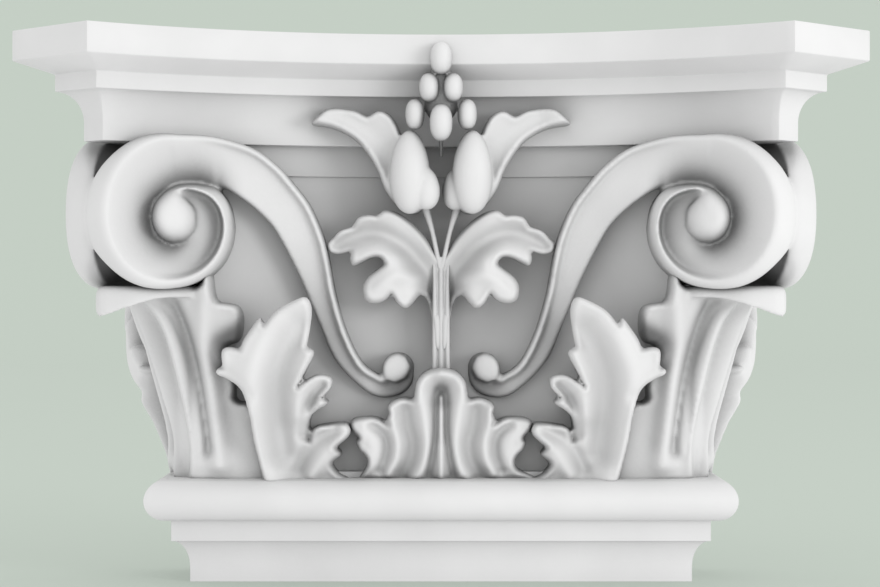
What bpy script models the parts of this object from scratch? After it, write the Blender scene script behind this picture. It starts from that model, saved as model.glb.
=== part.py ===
"""Corinthian pilaster capital, cast in one piece, flat backed, standing on its underside.

Metres, +Z up, front towards -Y, origin at the centre of the underside.
Depth d is measured back from the front of the horns. A capital that goes round a square
pier is the same on its front and its side, so each side form is a front form mirrored
about the corner's diagonal, and the wall plane cuts the rest away.
"""
import math

import bmesh
import bpy
import numpy as np
from mathutils import Matrix, Vector
from mathutils.geometry import delaunay_2d_cdt

# Shaft that the capital sits on, and how far the horns reach out past it
SHAFT_WIDTH = 0.242
SHAFT_DEPTH = 0.056
PROJECTION = 0.079
HEIGHT = 0.2614

# Base mouldings, from the underside up
FOOT_HEIGHT = 0.0069
COVE_HEIGHT = 0.0135
COVE_OUT = 0.0082
FILLET_HEIGHT = 0.0099
TORUS_HEIGHT = 0.0201
TORUS_OUT = 0.0018

# Abacus: horns cut at 45 degrees, hollow sides, and a moulded edge
ABACUS_HEIGHT = 0.0516
HORN_CUT = 0.0413
HOLLOW = 0.057
FASCIA_HEIGHT = 0.0141
SOFFIT_HEIGHT = 0.0063
LIP_HEIGHT = 0.008
LIP_IN = 0.0148
CAVETTO_HEIGHT = 0.0145
CAVETTO_IN = 0.0102

# Bell, and the band that rings it under the abacus
BELL_SET_IN = 0.005
BELL_CORNER = 0.0045
BELL_TOP_IN = 0.0305
BELL_TOP_CORNER = 0.080
BELL_STRAIGHT_SHARE = 0.6
BELL_LEVELS = (0.0, 0.22, 0.44, 0.66, 0.86)
BAND_HEIGHT = 0.0145
BAND_OUT = 0.002

# Scrolls: the rims lie on one hollow surface behind the fascia's
SCROLL_IN = 0.018
SCROLL_THICK = 0.014
SCROLL_HEIGHT_SHARE = 0.78
VOLUTE_EYE_X_SHARE = 0.655
RIM_WIDTH = 0.0052
RIM_DEEP = 0.0075
BAND_GROOVE = 0.0028

# Leaves and flowers: heights as shares of the carved zone's height
MID_LEAF_HEIGHT_SHARE = 0.544
CENTRE_LEAF_HEIGHT_SHARE = 0.314
UPPER_LEAF_HEIGHT_SHARE = 0.296
CORNER_LEAF_HEIGHT_SHARE = 0.578
FLOWER_HEIGHT_SHARE = 0.299
LEAF_THICK = 0.007
RIB_HALF_WIDTH = 0.010
RIB_ROUND = 0.003
RIB_SUNK = 0.02

# Where each leaf springs from: across as a share of half the shaft, up as a share of the
# carved zone
MID_LEAF_ACROSS_SHARE = 0.595
UPPER_LEAF_UP_SHARE = 0.51
FLOWER_UP_SHARE = 0.815

# Stem: three strands side by side that part at the fork, with a web behind them
STEM_LOW_SHARE = 0.30
STEM_FORK_SHARE = 0.665
STEM_TOP_SHARE = 0.83
STEM_STAND = 0.009
STRAND_R = 0.0019
STRAND_APART = 0.0033
STALK_R = 0.0017
STALK_APART = (0.0012, 0.0030, 0.0075)
STALK_OUT = (0.0, 0.001, 0.006)
STALK_BELOW_FORK = 0.006
STALK_ABOVE_FORK = 0.008
WEB_IN = 0.006
WEB_R = (0.0062, 0.0062, 0.0055)

# Fineness of the faceted surface
CARVING_STEP = 0.0064
INNER_COARSER = 1.2
EDGE_CLEAR = 0.0012
ARC_STEPS = 8
COVE_STEPS = 4
CAVETTO_STEPS = 5
TORUS_STEPS = 8
BUD_SIDES = 10
BERRY_SIDES = 8
EGG_RINGS = 6
SINK = 0.001
WALL_GAP = 0.0003

# Sizes worked out from those above
DEPTH = SHAFT_DEPTH + PROJECTION
HALF = SHAFT_WIDTH / 2 + PROJECTION
WALL_Y = SHAFT_DEPTH / 2
BASE_HEIGHT = FOOT_HEIGHT + COVE_HEIGHT + FILLET_HEIGHT + TORUS_HEIGHT
ABACUS_Z = HEIGHT - ABACUS_HEIGHT
CARVED = ABACUS_Z - BASE_HEIGHT
HALF_CHORD = HALF - HORN_CUT
FASCIA_R = (HALF_CHORD ** 2 + HOLLOW ** 2) / (2 * HOLLOW)
AXIS_OUT = FASCIA_R - HOLLOW
BELL_D = PROJECTION + BELL_SET_IN
SCROLL_R = FASCIA_R + SCROLL_IN

WHITE = (0.86, 0.87, 0.86, 1.0)
MATT = 0.55

# Each outline is a ring of lobes. A lobe runs from its notch through the points that
# shape it to the next lobe's notch, in hundredths of the leaf's height: across, then up.
MID_LEAF = (
    ((15, -3), (20, 21), (22, 36), (26, 49), (33, 55), (39, 58), (39, 61)),
    ((36, 62), (36, 71), (32, 73)),
    ((26, 72), (24, 77), (20, 83), (15, 89)),
    ((13, 85), (6, 93), (-3, 98), (-10, 100), (-13, 94), (-12, 84)),
    ((-10, 73), (-14, 70), (-10, 61)),
    ((-5, 51), (-11, 56), (-17, 58), (-23, 56), (-23, 51)),
    ((-18, 45), (-21, 42), (-15, 38), (-11, 33)),
    ((-10, 21), (-13, 28), (-20, 30), (-30, 30), (-31, 23)),
    ((-25, 17), (-28, 13), (-23, 7), (-25, -3)),
)
MID_LEAF_STAND = ((0, 15), (13, 19), (27, 24), (40, 31), (57, 38), (69, 41), (100, 45))
MID_LEAF_BACK = ((0, -15), (35, -10), (60, 22), (75, 32), (100, 37))
MID_LEAF_VEINS = (
    (6.0, 8.0, ((11, 0), (18, 30), (18, 58), (8, 80), (-7, 97))),
    (-5.0, 7.0, ((5, 14), (8, 50), (3, 72), (-5, 84))),
    (3.0, 7.0, ((-6, 40), (-7, 52), (-11, 68))),
    (-4.0, 6.0, ((-6, 26), (-11, 45), (-20, 53))),
    (3.0, 6.0, ((-12, 6), (-20, 18), (-26, 26))),
)

# Half of the centre leaf, from the middle of its arch down to its foot
CENTRE_LEAF = (
    ((0, 100), (13, 98), (24, 92), (28, 84)),
    ((27, 74), (33, 71), (42, 70), (51, 67), (53, 61)),
    ((50, 47), (57, 52), (66, 55), (78, 53), (86, 48), (84, 37)),
    ((81, 31), (83, 26), (77, 18), (73, 12), (75, -4)),
)
CENTRE_LEAF_STAND = ((0, 26), (50, 32), (100, 42))
CENTRE_LEAF_BACK = ((0, -20), (100, -20))
CENTRE_LEAF_VEINS = (
    (9.0, 9.0, ((0, 91), (12, 88), (19, 74), (17, 55), (16, 25), (21, 0))),
    (-9.0, 7.0, ((0, 76), (8, 62), (8, 30), (11, 2))),
    (6.0, 7.0, ((0, 64), (0, 0))),
    (7.0, 8.0, ((46, 62), (39, 33), (43, 6))),
    (7.0, 8.0, ((78, 46), (68, 30), (62, 6))),
    (-6.0, 6.0, ((27, 66), (29, 40), (33, 6))),
)

UPPER_LEAF = (
    ((-2, 48), (6, 58), (15, 72), (28, 86), (40, 95), (50, 99), (58, 99)),
    ((65, 94), (74, 95), (84, 92)),
    ((90, 83), (102, 79), (111, 71), (116, 65), (113, 57), (103, 55)),
    ((91, 58), (92, 50), (89, 43), (81, 46), (70, 51), (61, 51)),
    ((57, 45), (64, 40), (74, 32), (79, 22), (77, 9), (68, 5), (57, 8)),
    ((50, 15), (44, 5), (36, 0), (29, 5)),
    ((22, 14), (16, 11), (12, 0), (9, -16), (7, -40), (-2, -40)),
)
UPPER_LEAF_STAND = ((0, 20), (12, 26), (45, 46), (75, 44), (116, 36))
UPPER_LEAF_BACK = ((0, -8), (30, 12), (60, 22), (116, 20))
UPPER_LEAF_VEINS = (
    (-7.0, 11.0, ((8, 8), (19, 40), (34, 60), (58, 75), (82, 75), (104, 64))),
    (6.0, 10.0, ((24, 32), (48, 32), (70, 15))),
    (4.0, 9.0, ((22, 26), (34, 8))),
    (5.0, 10.0, ((44, 50), (66, 58), (86, 50))),
)

FLOWER_PETAL = (
    ((38, -4), (52, 14), (65, 41), (78, 60), (92, 74), (109, 81)),
    ((129, 83), (120, 92), (105, 98), (91, 98)),
    ((75, 93), (62, 97), (52, 92), (43, 84), (36, 70), (26, 40), (20, 4)),
)
FLOWER_PETAL_STAND = ((0, 46), (60, 50), (100, 52))
FLOWER_PETAL_BACK = ((0, -6), (100, -6))
FLOWER_PETAL_VEINS = (
    (-7.0, 15.0, ((50, 30), (66, 68), (100, 90))),
    (5.0, 9.0, ((46, 8), (74, 62), (100, 82), (124, 84))),
)

# Front half of the corner leaf, across from the bell's corner, and its diagonal rib
CORNER_LEAF = (
    ((6, -2), (-42, -2), (-37, 17), (-31, 33), (-25, 41)),
    ((-17, 43), (-15, 49), (-12, 61)),
    ((-10, 69), (-14, 75), (-21, 79), (-24, 83), (-23, 89), (-15, 94)),
    ((-11, 94), (-9, 101)),
    ((10, 101), (26, 100)),
    ((35, 98), (20, 82), (12, 55), (6, 20)),
)
CORNER_LEAF_STAND = ((0, 14), (22, 15), (43, 20), (65, 26), (81, 31), (98, 37))
CORNER_LEAF_BACK = ((0, -15), (55, -10), (80, 2), (100, 10))
CORNER_LEAF_VEINS = (
    (-8.0, 4.5, ((-3, 15), (1, 55), (8, 81), (15, 95))),
    (3.5, 7.0, ((-11, 8), (-6, 45), (-5, 70), (-5, 101))),
    (-5.0, 5.0, ((-17, 20), (-13, 55), (-9, 66))),
    (3.0, 6.0, ((-8, 80), (-20, 86))),
)
CORNER_RIB = ((0, 10), (23, 12), (55, 16), (70, 21), (81, 28), (88, 34), (98, 49))
HOOD_PLAN = (
    ((0, 67), (6, 64), (17, 54), (24, 38), (27, 28)),
    ((27, 15), (0, 15), (-27, 15)),
    ((-27, 28), (-24, 38), (-17, 54), (-6, 64)),
)
HOOD_TOP = 98
HOOD_THICK = 6
HOOD_LIP = 16
HOOD_LIP_FROM = 38
HOOD_LIP_RUN = 28
HOOD_ROUND = 3
HOOD_DROP = 2.5

# Scroll, measured from the volute's eye in hundredths of the scroll's height.
# Rim radius after each share of a turn from the top, outwards and round
VOLUTE_RIM = ((-0.125, 32), (0.0, 32), (0.25, 31), (0.5, 27.5), (0.75, 26.5),
              (0.875, 22), (1.0, 13.5), (1.25, 11.3), (1.5, 9.5))
VOLUTE_EYE = 9.4
EYE_FOOT = 1.0
SCROLL_UPPER = ((0, 32), (-13, 33), (-27, 31), (-36, 27), (-44, 21), (-50, 11), (-56, -1),
                (-62, -24), (-64, -35), (-68, -47), (-74, -55), (-83, -62))
SCROLL_LOWER = ((-95, -58), (-95, -63), (-91, -67), (-84, -70), (-75, -68), (-66, -60),
                (-59, -46), (-53, -28), (-47, -14), (-41, -4), (-34, 6), (-22, 12))
CURL_CENTRE = (-89, -57.5)
CURL_R = 5.4
# The volute's channel fades into the band's shallow trough between these two places
# across, and below this level there is only band
CHANNEL_END = -6
TROUGH_START = -28
BAND_ONLY_UP = -34
CHANNEL_POWER = 1.2
TROUGH_HALF_SHARE = 0.3
EYE_RISE_SHARE = 0.35
# Turns of the spiral at which the plate's outline leaves the rim, and between which the
# rim runs on inside the plate
RIM_LEAVES = 0.8
RIM_INSIDE = (0.84, 1.3)
BAND_MEETS_RIM = (-23.5, 9.0)

# Buds and berries: across, up, half width, half height, stand off the bell, in
# hundredths of the flower's height
BUDS = ((32, 37, 19, 39, 50), (14, 21, 14, 21, 60))
BERRIES = ((0, 147, 10, 16, 62), (12.5, 119, 10, 14.5, 58), (26, 93, 10, 15, 52),
           (0, 84, 10.5, 17.5, 62))
# The core behind the berries tapers upwards: up, radius and stand off the bell
CORE = ((80, 10, 36), (90, 25, 32), (105, 24, 34), (122, 17, 42), (147, 9, 50))
BERRY_DEEPER = 1.2


def clear_scene():
    for item in list(bpy.data.objects):
        bpy.data.objects.remove(item, do_unlink=True)


def plaster():
    """White cast material with a matt, primed face."""
    material = bpy.data.materials.new("white_casting")
    material.use_nodes = True
    shader = material.node_tree.nodes["Principled BSDF"]
    shader.inputs["Base Color"].default_value = WHITE
    shader.inputs["Roughness"].default_value = MATT
    shader.inputs["Metallic"].default_value = 0.0
    return material


def at_front(x, d, z):
    return (x, WALL_Y - DEPTH + d, z)


def at_side(x, d, z):
    """The same point on the side face: mirrored about the corner's diagonal."""
    return (HALF - d, WALL_Y - DEPTH + HALF - x, z)


def at_corner(q, stand, z):
    """A point beside the corner's diagonal plane, standing off the bell's corner."""
    deep = BELL_D * math.sqrt(2) - stand
    return at_front(HALF - (deep + q) / math.sqrt(2), (deep - q) / math.sqrt(2), z)


def mesh_object(name, verts, faces, material):
    mesh = bpy.data.meshes.new(name)
    mesh.from_pydata([Vector(v) for v in verts], [], faces)
    item = bpy.data.objects.new(name, mesh)
    bpy.context.scene.collection.objects.link(item)
    work = bmesh.new()
    work.from_mesh(mesh)
    bmesh.ops.recalc_face_normals(work, faces=work.faces)
    work.to_mesh(mesh)
    work.free()
    mesh.materials.append(material)
    return item


def curve_through(points, last, step):
    """Catmull-Rom curve from the first point to just before the last, a step apart."""
    ring = [np.array(p, float) for p in points] + [np.array(last, float)]
    ends = [2 * ring[0] - ring[1]] + ring + [2 * ring[-1] - ring[-2]]
    out = []
    for i in range(1, len(ends) - 2):
        p0, p1, p2, p3 = ends[i - 1:i + 3]
        count = max(1, int(round(np.linalg.norm(p2 - p1) / step)))
        for k in range(count):
            t = k / count
            out.append(0.5 * ((2 * p1) + (p2 - p0) * t + (2 * p0 - 5 * p1 + 4 * p2 - p3) * t ** 2
                              + (3 * p1 - p0 - 3 * p2 + p3) * t ** 3))
    return out


def lobed(lobes, size, step):
    """Closed outline of a leaf: smooth within each lobe, with a sharp notch between lobes."""
    ring = []
    for i, lobe in enumerate(lobes):
        after = lobes[(i + 1) % len(lobes)][0]
        ring += curve_through(lobe, after, step / size)
    return np.array(ring) * size


def hundredths(pairs, size):
    return [(a * size / 100, b * size / 100) for a, b in pairs]


def scaled(lobes):
    return [[(a / 100, b / 100) for a, b in lobe] for lobe in lobes]


def distance_to(points, line, closed=False):
    """Distance of each point to a chain of segments."""
    line = np.array(line, float)
    ends = np.roll(line, -1, axis=0) if closed else line[1:]
    starts = line if closed else line[:-1]
    best = np.full(len(points), 1e9)
    for a, b in zip(starts, ends):
        along = b - a
        t = np.clip(((points - a) @ along) / max(along @ along, 1e-18), 0, 1)
        gap = np.linalg.norm(points - a - t[:, None] * along, axis=1)
        best = np.minimum(best, gap)
    return best


def inside(points, ring):
    hit = np.zeros(len(points), bool)
    x, y = points[:, 0], points[:, 1]
    for a, b in zip(ring, np.roll(ring, -1, axis=0)):
        cross = (a[1] > y) != (b[1] > y)
        if a[1] != b[1]:
            at = a[0] + (y - a[1]) * (b[0] - a[0]) / (b[1] - a[1])
            hit ^= cross & (x < at)
    return hit


def hex_points(ring, step):
    """Evenly spread points inside the outline, clear of its edge."""
    low, high = ring.min(axis=0), ring.max(axis=0)
    rows = np.arange(low[1] + step / 2, high[1], step * math.sqrt(3) / 2)
    spread = []
    for i, v in enumerate(rows):
        start = low[0] + (step / 2 if i % 2 else 0)
        spread += [(u, v) for u in np.arange(start, high[0], step)]
    spread = np.array(spread)
    keep = inside(spread, ring)
    keep[keep] = distance_to(spread[keep], ring, True) > 0.45 * step
    return spread[keep]


def vein_points(ring, veins, size, step):
    """Points along each vein's crest or trough, with even points in the space between."""
    chosen = hex_points(ring, step)
    along = []
    for _, _, line in veins:
        pairs = hundredths(line, size)
        along += [p for p in curve_through(pairs[:-1], pairs[-1], step)]
    along = np.array(along)
    keep = inside(along, ring)
    keep[keep] = distance_to(along[keep], ring, True) > 0.4 * step
    kept = []
    for p in along[keep]:
        if all(np.linalg.norm(p - q) > 0.35 * step for q in kept):
            kept.append(p)
    kept = np.array(kept)
    far = [p for p in chosen if np.min(np.linalg.norm(kept - p, axis=1)) > 0.8 * step]
    return np.array(list(kept) + far)


def triangles(ring, inner):
    """Triangles inside the outline that use every given point."""
    points = [Vector(p) * 1000 for p in ring] + [Vector(p) * 1000 for p in inner]
    edges = [(i, (i + 1) % len(ring)) for i in range(len(ring))]
    flat, _, faces, _, _, _ = delaunay_2d_cdt(points, edges, [], 1, 1e-5)
    return np.array([p[:] for p in flat]) / 1000, [tuple(f) for f in faces]


def carve(name, ring, inner, front, back, place, material):
    """Closed solid between two surfaces over one outline."""
    flat, faces = triangles(ring, inner)
    rim = flat[:len(ring)]
    _, back_faces = triangles(ring, [])
    near = front(flat)
    far = back(rim)
    verts = [place(p[0], n, p[1]) for p, n in zip(flat, near)]
    verts += [place(p[0], f, p[1]) for p, f in zip(rim, far)]
    first = len(flat)
    solid = list(faces)
    solid += [tuple(first + i for i in reversed(f)) for f in back_faces]
    for i in range(len(ring)):
        j = (i + 1) % len(ring)
        solid.append((i, j, first + j, first + i))
    return mesh_object(name, verts, solid, material)


def relief(points, ring, veins, size, rounding):
    """Height of the carving above the leaf's own sweep: veins raised or sunk, edge rounded."""
    height = np.zeros(len(points))
    for rise, wide, line in veins:
        smooth = curve_through(hundredths(line[:-1], size), hundredths(line[-1:], size)[0],
                               0.1 * size)
        gap = distance_to(points, smooth + [np.array(hundredths(line[-1:], size)[0])])
        height += rise / 100 * size * np.exp(-(gap / (wide / 100 * size)) ** 2)
    edge = np.clip(distance_to(points, ring, True) / rounding, 0, 1)
    return height - rounding * (1 - np.sqrt(1 - (1 - edge) ** 2))


def leaf(name, lobes, stand, behind, veins, size, foot, place, material, across=False):
    """One carved leaf. Its sweep off the bell follows its height, or its length across."""
    ring = lobed(scaled(lobes), size, CARVING_STEP)
    inner = vein_points(ring, veins, size, CARVING_STEP * INNER_COARSER)
    axis = 0 if across else 1
    rounding = 0.4 * LEAF_THICK

    def sweep(points, table):
        return np.interp(points[:, axis] / size * 100, *zip(*table)) / 100 * size

    def front(points):
        return BELL_D - sweep(points, stand) - relief(points, ring, veins, size, rounding)

    def back(points):
        return BELL_D - sweep(points, behind)

    def moved(u, d, v):
        return place(foot[0] + u, d, foot[1] + v)

    return carve(name, ring, inner, front, back, moved, material)


def mirrored(lobes):
    """Half an outline joined to its mirror image, starting at the top middle."""
    right = [list(lobe) for lobe in lobes]
    left = []
    for i in range(len(lobes) - 1, -1, -1):
        after = lobes[i + 1][0] if i + 1 < len(lobes) else None
        lobe = ([after] if after else []) + list(reversed(lobes[i][1:]))
        left.append([(-a, b) for a, b in lobe])
    left.append([(0, 100)])
    joined = right + left[:-1]
    return [lobe for lobe in joined if lobe]


def stack(name, loops, material):
    """Loft through level loops that have as many points each, with flat ends."""
    count = len(loops[0])
    verts = [p for loop in loops for p in loop]
    faces = []
    for level in range(len(loops) - 1):
        for i in range(count):
            j = (i + 1) % count
            low, high = level * count, (level + 1) * count
            faces.append((low + i, low + j, high + j, high + i))
    for level in (0, len(loops) - 1):
        first = level * count
        ring = np.array([loops[level][i][:2] for i in range(count)])
        _, caps = triangles(ring, [])
        faces += [tuple(first + i for i in cap) for cap in caps]
    return mesh_object(name, verts, faces, material)


def plan_loop(depth_at, corner, z, steps=ARC_STEPS):
    """Level loop of a form with hollow sides and cut corners, closed along the wall."""
    low, high = 0.0, HALF
    for _ in range(50):
        middle = (low + high) / 2
        low, high = (middle, high) if middle - depth_at(middle) < corner else (low, middle)
    turn = (low + high) / 2
    wall_x = HALF - DEPTH
    side = [at_side(x, depth_at(x), z) for x in np.linspace(wall_x, turn, steps)]
    front = [at_front(x, depth_at(x), z) for x in np.linspace(turn, 0, steps)]
    half = side + front
    return half + [(-x, y, z) for x, y, z in reversed(half[:-1])]


def abacus(material):
    """Moulded slab: underside, cavetto, lip, sloped soffit and fascia."""
    top = ABACUS_HEIGHT
    lip_top = top - FASCIA_HEIGHT - SOFFIT_HEIGHT
    hollow_top = lip_top - LIP_HEIGHT
    profile = [(LIP_IN + CAVETTO_IN, 0.0)]
    for i in range(CAVETTO_STEPS + 1):
        angle = math.pi / 2 * i / CAVETTO_STEPS
        profile.append((LIP_IN + CAVETTO_IN * math.cos(angle),
                        hollow_top - CAVETTO_HEIGHT * (1 - math.sin(angle))))
    profile.append((LIP_IN, lip_top))
    profile.append((0.0, top - FASCIA_HEIGHT))
    profile.append((0.0, top))
    loops = []
    for inward, up in profile:
        corner = HALF - HORN_CUT - inward * math.sqrt(2)
        loops.append(plan_loop(hollow_arc(FASCIA_R + inward), corner, ABACUS_Z + up))
    return stack("abacus", loops, material)


def hollow_arc(radius):
    """Depth of a hollow side of this radius against distance from the middle."""
    return lambda x: math.sqrt(radius * radius - x * x) - AXIS_OUT


def bell_depth(share, out):
    """Front of the bell at a share of its height, as depth against distance from the middle."""
    sweep = min(share / BELL_STRAIGHT_SHARE, 1.0)
    sweep = sweep * sweep * (3 - 2 * sweep)
    hollow = hollow_arc(FASCIA_R + BELL_TOP_IN)
    return lambda x: BELL_D * (1 - sweep) + hollow(x) * sweep - out


def bell(material):
    """Bell flaring from the straight shaft to the hollow-sided abacus, with its band."""
    foot = (SHAFT_WIDTH / 2 - BELL_SET_IN) - BELL_D - BELL_CORNER
    top = HALF - math.sqrt(2) * BELL_TOP_CORNER
    band = 1 - BAND_HEIGHT / CARVED
    levels = [(share * band, 0.0) for share in BELL_LEVELS]
    levels += [(band, 0.0), (band, BAND_OUT), (1.0, BAND_OUT)]
    loops = []
    for share, out in levels:
        z = BASE_HEIGHT + share * CARVED
        z += {0.0: -SINK, 1.0: SINK}.get(share, 0.0)
        corner = foot + (top - foot) * share ** 2 + out * math.sqrt(2)
        loops.append(plan_loop(bell_depth(share, out), corner, z))
    return stack("bell", loops, material)


def base(material):
    """Straight mouldings under the carving, each a plain rectangle in plan at the wall."""
    profile = [(0.0, 0.0), (0.0, FOOT_HEIGHT)]
    for i in range(1, COVE_STEPS + 1):
        angle = math.pi / 2 * i / COVE_STEPS
        profile.append((COVE_OUT * (1 - math.cos(angle)),
                        FOOT_HEIGHT + COVE_HEIGHT * math.sin(angle)))
    fillet_top = FOOT_HEIGHT + COVE_HEIGHT + FILLET_HEIGHT
    profile.append((COVE_OUT, fillet_top))
    for i in range(TORUS_STEPS + 1):
        angle = math.pi * i / TORUS_STEPS
        profile.append((COVE_OUT + TORUS_OUT + TORUS_HEIGHT / 2 * math.sin(angle),
                        fillet_top + TORUS_HEIGHT / 2 * (1 - math.cos(angle))))
    loops = []
    for out, z in profile:
        x = SHAFT_WIDTH / 2 + out
        y = -SHAFT_DEPTH / 2 - out
        loops.append([(x, WALL_Y, z), (x, y, z), (-x, y, z), (-x, WALL_Y, z)])
    return stack("base", loops, material)


def rim_radius(turn):
    turns, radii = zip(*VOLUTE_RIM)
    return np.interp(turn, turns, radii)


def polar(radius, turn):
    angle = 2 * math.pi * turn
    return (radius * math.sin(angle), radius * math.cos(angle))


def volute_points(first, last, count, shift=0.0):
    """Points along the rim's spiral, in hundredths of the scroll's height from the eye."""
    return [polar(float(rim_radius(turn)) - shift, turn)
            for turn in np.linspace(first, last, count)]


def eye_ring(radius, first, last, count):
    return [polar(radius, turn) for turn in np.linspace(first, last, count)]


def scroll_depth(points, size):
    """Depth behind the rim surface: a raised rim, a channel sloping in, and a round eye."""
    unit = size / 100
    u, v = points[:, 0] / unit, points[:, 1] / unit
    reach = np.hypot(u, v)
    turn = (np.arctan2(u, v) / (2 * math.pi)) % 1.0
    rim_here = rim_radius(turn)
    rim_next = rim_radius(turn + 1.0)
    last = VOLUTE_RIM[-1][0]
    band = (turn > 0.75) & (reach > rim_here)
    band |= (reach > max(radius for _, radius in VOLUTE_RIM) + EYE_FOOT) | (v < BAND_ONLY_UP)
    upper = np.array(curve_through(SCROLL_UPPER[:-1], SCROLL_UPPER[-1], 4.0)
                     + [np.array(SCROLL_UPPER[-1])])
    lower = np.array(curve_through(SCROLL_LOWER[:-1], SCROLL_LOWER[-1], 4.0)
                     + volute_points(*RIM_INSIDE, 12))
    flat = np.stack([u, v], axis=1)
    from_upper = distance_to(flat, upper)
    from_lower = distance_to(flat, lower)
    second = (turn + 1.0 <= last) & (reach <= rim_next)
    outer = np.where(second, rim_next, rim_here)
    inner = np.where((turn + 1.0 <= last) & ~second, rim_next, VOLUTE_EYE)
    from_rim = np.where(band, from_upper, np.maximum(outer - reach, 0))
    width = np.where(band, from_upper + from_lower, np.maximum(outer - inner, 1.0))
    rim = RIM_WIDTH / unit
    slope = np.clip((from_rim - rim) / np.maximum(width - rim, 1.0), 0, 1)
    channel = RIM_DEEP * np.sin(slope * math.pi / 2) ** CHANNEL_POWER
    off_middle = np.abs(from_rim / np.maximum(width, 1.0) - 0.5)
    middle = np.clip(1 - off_middle / TROUGH_HALF_SHARE, 0, 1)
    trough = BAND_GROOVE * middle * middle * (3 - 2 * middle)
    to_trough = np.clip((CHANNEL_END - u) / (CHANNEL_END - TROUGH_START), 0, 1)
    to_trough = np.where(v > BAND_ONLY_UP, to_trough, 1.0) * band
    deep = channel * (1 - to_trough) + trough * to_trough
    eye = reach / VOLUTE_EYE
    dome = RIM_WIDTH * EYE_RISE_SHARE * (1 - np.sqrt(np.clip(1 - eye ** 2, 0, 1)))
    deep = np.where(eye < 1, dome, deep)
    curl = np.hypot(u - CURL_CENTRE[0], v - CURL_CENTRE[1]) / CURL_R
    return np.where(curl < 1, 0.0, deep)


def scroll(name, place, material):
    """Volute, band and small end curl as one plate on the hollow surface."""
    size = SCROLL_HEIGHT_SHARE * CARVED
    unit = size / 100
    eye_x = VOLUTE_EYE_X_SHARE * HALF
    eye_z = BASE_HEIGHT + SCROLL_HEIGHT_SHARE * CARVED
    step = CARVING_STEP / unit * 1.25
    ring = volute_points(0.0, RIM_LEAVES, 20)
    ring += [BAND_MEETS_RIM]
    ring += [tuple(p) for p in reversed(curve_through(SCROLL_LOWER[:-1], SCROLL_LOWER[-1], step))]
    end = math.atan2(SCROLL_UPPER[-1][1] - CURL_CENTRE[1], SCROLL_UPPER[-1][0] - CURL_CENTRE[0])
    curl_steps = 5
    for i in range(curl_steps):
        angle = math.pi + (end - math.pi) * (i + 0.5) / curl_steps
        ring.append((CURL_CENTRE[0] + CURL_R * math.cos(angle),
                     CURL_CENTRE[1] + CURL_R * math.sin(angle)))
    ring += [tuple(p) for p in reversed(curve_through(SCROLL_UPPER[:-1], SCROLL_UPPER[-1], step))]
    ring = np.array(ring[:-1]) * unit
    rim = 100 * RIM_WIDTH / size
    inner = volute_points(0.0, 0.98, 22, rim) + volute_points(0.84, 1.25, 9, EYE_FOOT / 2)
    for first, last, count, shift in ((1.0, 1.5, 8, -EYE_FOOT), (1.27, 1.5, 4, EYE_FOOT)):
        inner += volute_points(first, last, count, shift)
    inner += eye_ring(VOLUTE_EYE - EYE_FOOT, 0.1, 1.0, 12)
    inner += eye_ring(VOLUTE_EYE + EYE_FOOT, 0.56, 0.96, 8)
    inner += [polar((float(rim_radius(turn)) + VOLUTE_EYE) / 2 + EYE_FOOT, turn)
              for turn in np.linspace(0.0, 0.74, 13)]
    inner += [(0, 0), CURL_CENTRE]
    centre = [((a[0] + b[0]) / 2, (a[1] + b[1]) / 2) for a, b in
              zip(curve_through(SCROLL_UPPER[1:-1], SCROLL_UPPER[-1], 11.0)[:11],
                  list(reversed(curve_through(SCROLL_LOWER[3:-1], SCROLL_LOWER[-1], 11.0)))[:11])]
    inner = np.array(inner + centre) * unit
    keep = inside(inner, ring)
    keep[keep] = distance_to(inner[keep], ring, True) > EDGE_CLEAR
    inner = inner[keep]

    def near(points):
        return scroll_depth(points, size)

    def far(points):
        return np.full(len(points), SCROLL_THICK)

    def rolled(u, deep, v):
        angle = (eye_x + u) / SCROLL_R
        radius = SCROLL_R + deep
        return place(radius * math.sin(angle), radius * math.cos(angle) - AXIS_OUT, eye_z + v)

    return carve(name, ring, inner, near, far, rolled, material)


def ellipsoid(name, centre, half, material, sides):
    """Egg shape for a bud or a berry."""
    work = bmesh.new()
    bmesh.ops.create_uvsphere(work, u_segments=sides, v_segments=EGG_RINGS, radius=1.0)
    bmesh.ops.scale(work, vec=Vector(half), verts=work.verts)
    bmesh.ops.translate(work, vec=Vector(centre), verts=work.verts)
    mesh = bpy.data.meshes.new(name)
    work.to_mesh(mesh)
    work.free()
    item = bpy.data.objects.new(name, mesh)
    bpy.context.scene.collection.objects.link(item)
    mesh.materials.append(material)
    return item


def rod(name, path, radii, material, sides=6):
    """Tapering rod along a path of (x, d, z) points, with flat ends."""
    spots = [Vector(at_front(*p)) for p in path]
    verts, faces = [], []
    for i, spot in enumerate(spots):
        ahead = spots[min(i + 1, len(spots) - 1)] - spots[max(i - 1, 0)]
        ahead.normalize()
        across = ahead.cross(Vector((0, -1, 0))).normalized()
        out = across.cross(ahead)
        for k in range(sides):
            angle = 2 * math.pi * k / sides
            verts.append(spot + radii[i] * (across * math.cos(angle) + out * math.sin(angle)))
    for i in range(len(spots) - 1):
        for k in range(sides):
            j = (k + 1) % sides
            faces.append((i * sides + k, i * sides + j, (i + 1) * sides + j, (i + 1) * sides + k))
    faces.append(tuple(reversed(range(sides))))
    faces.append(tuple(range((len(spots) - 1) * sides, len(spots) * sides)))
    return mesh_object(name, verts, faces, material)


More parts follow.
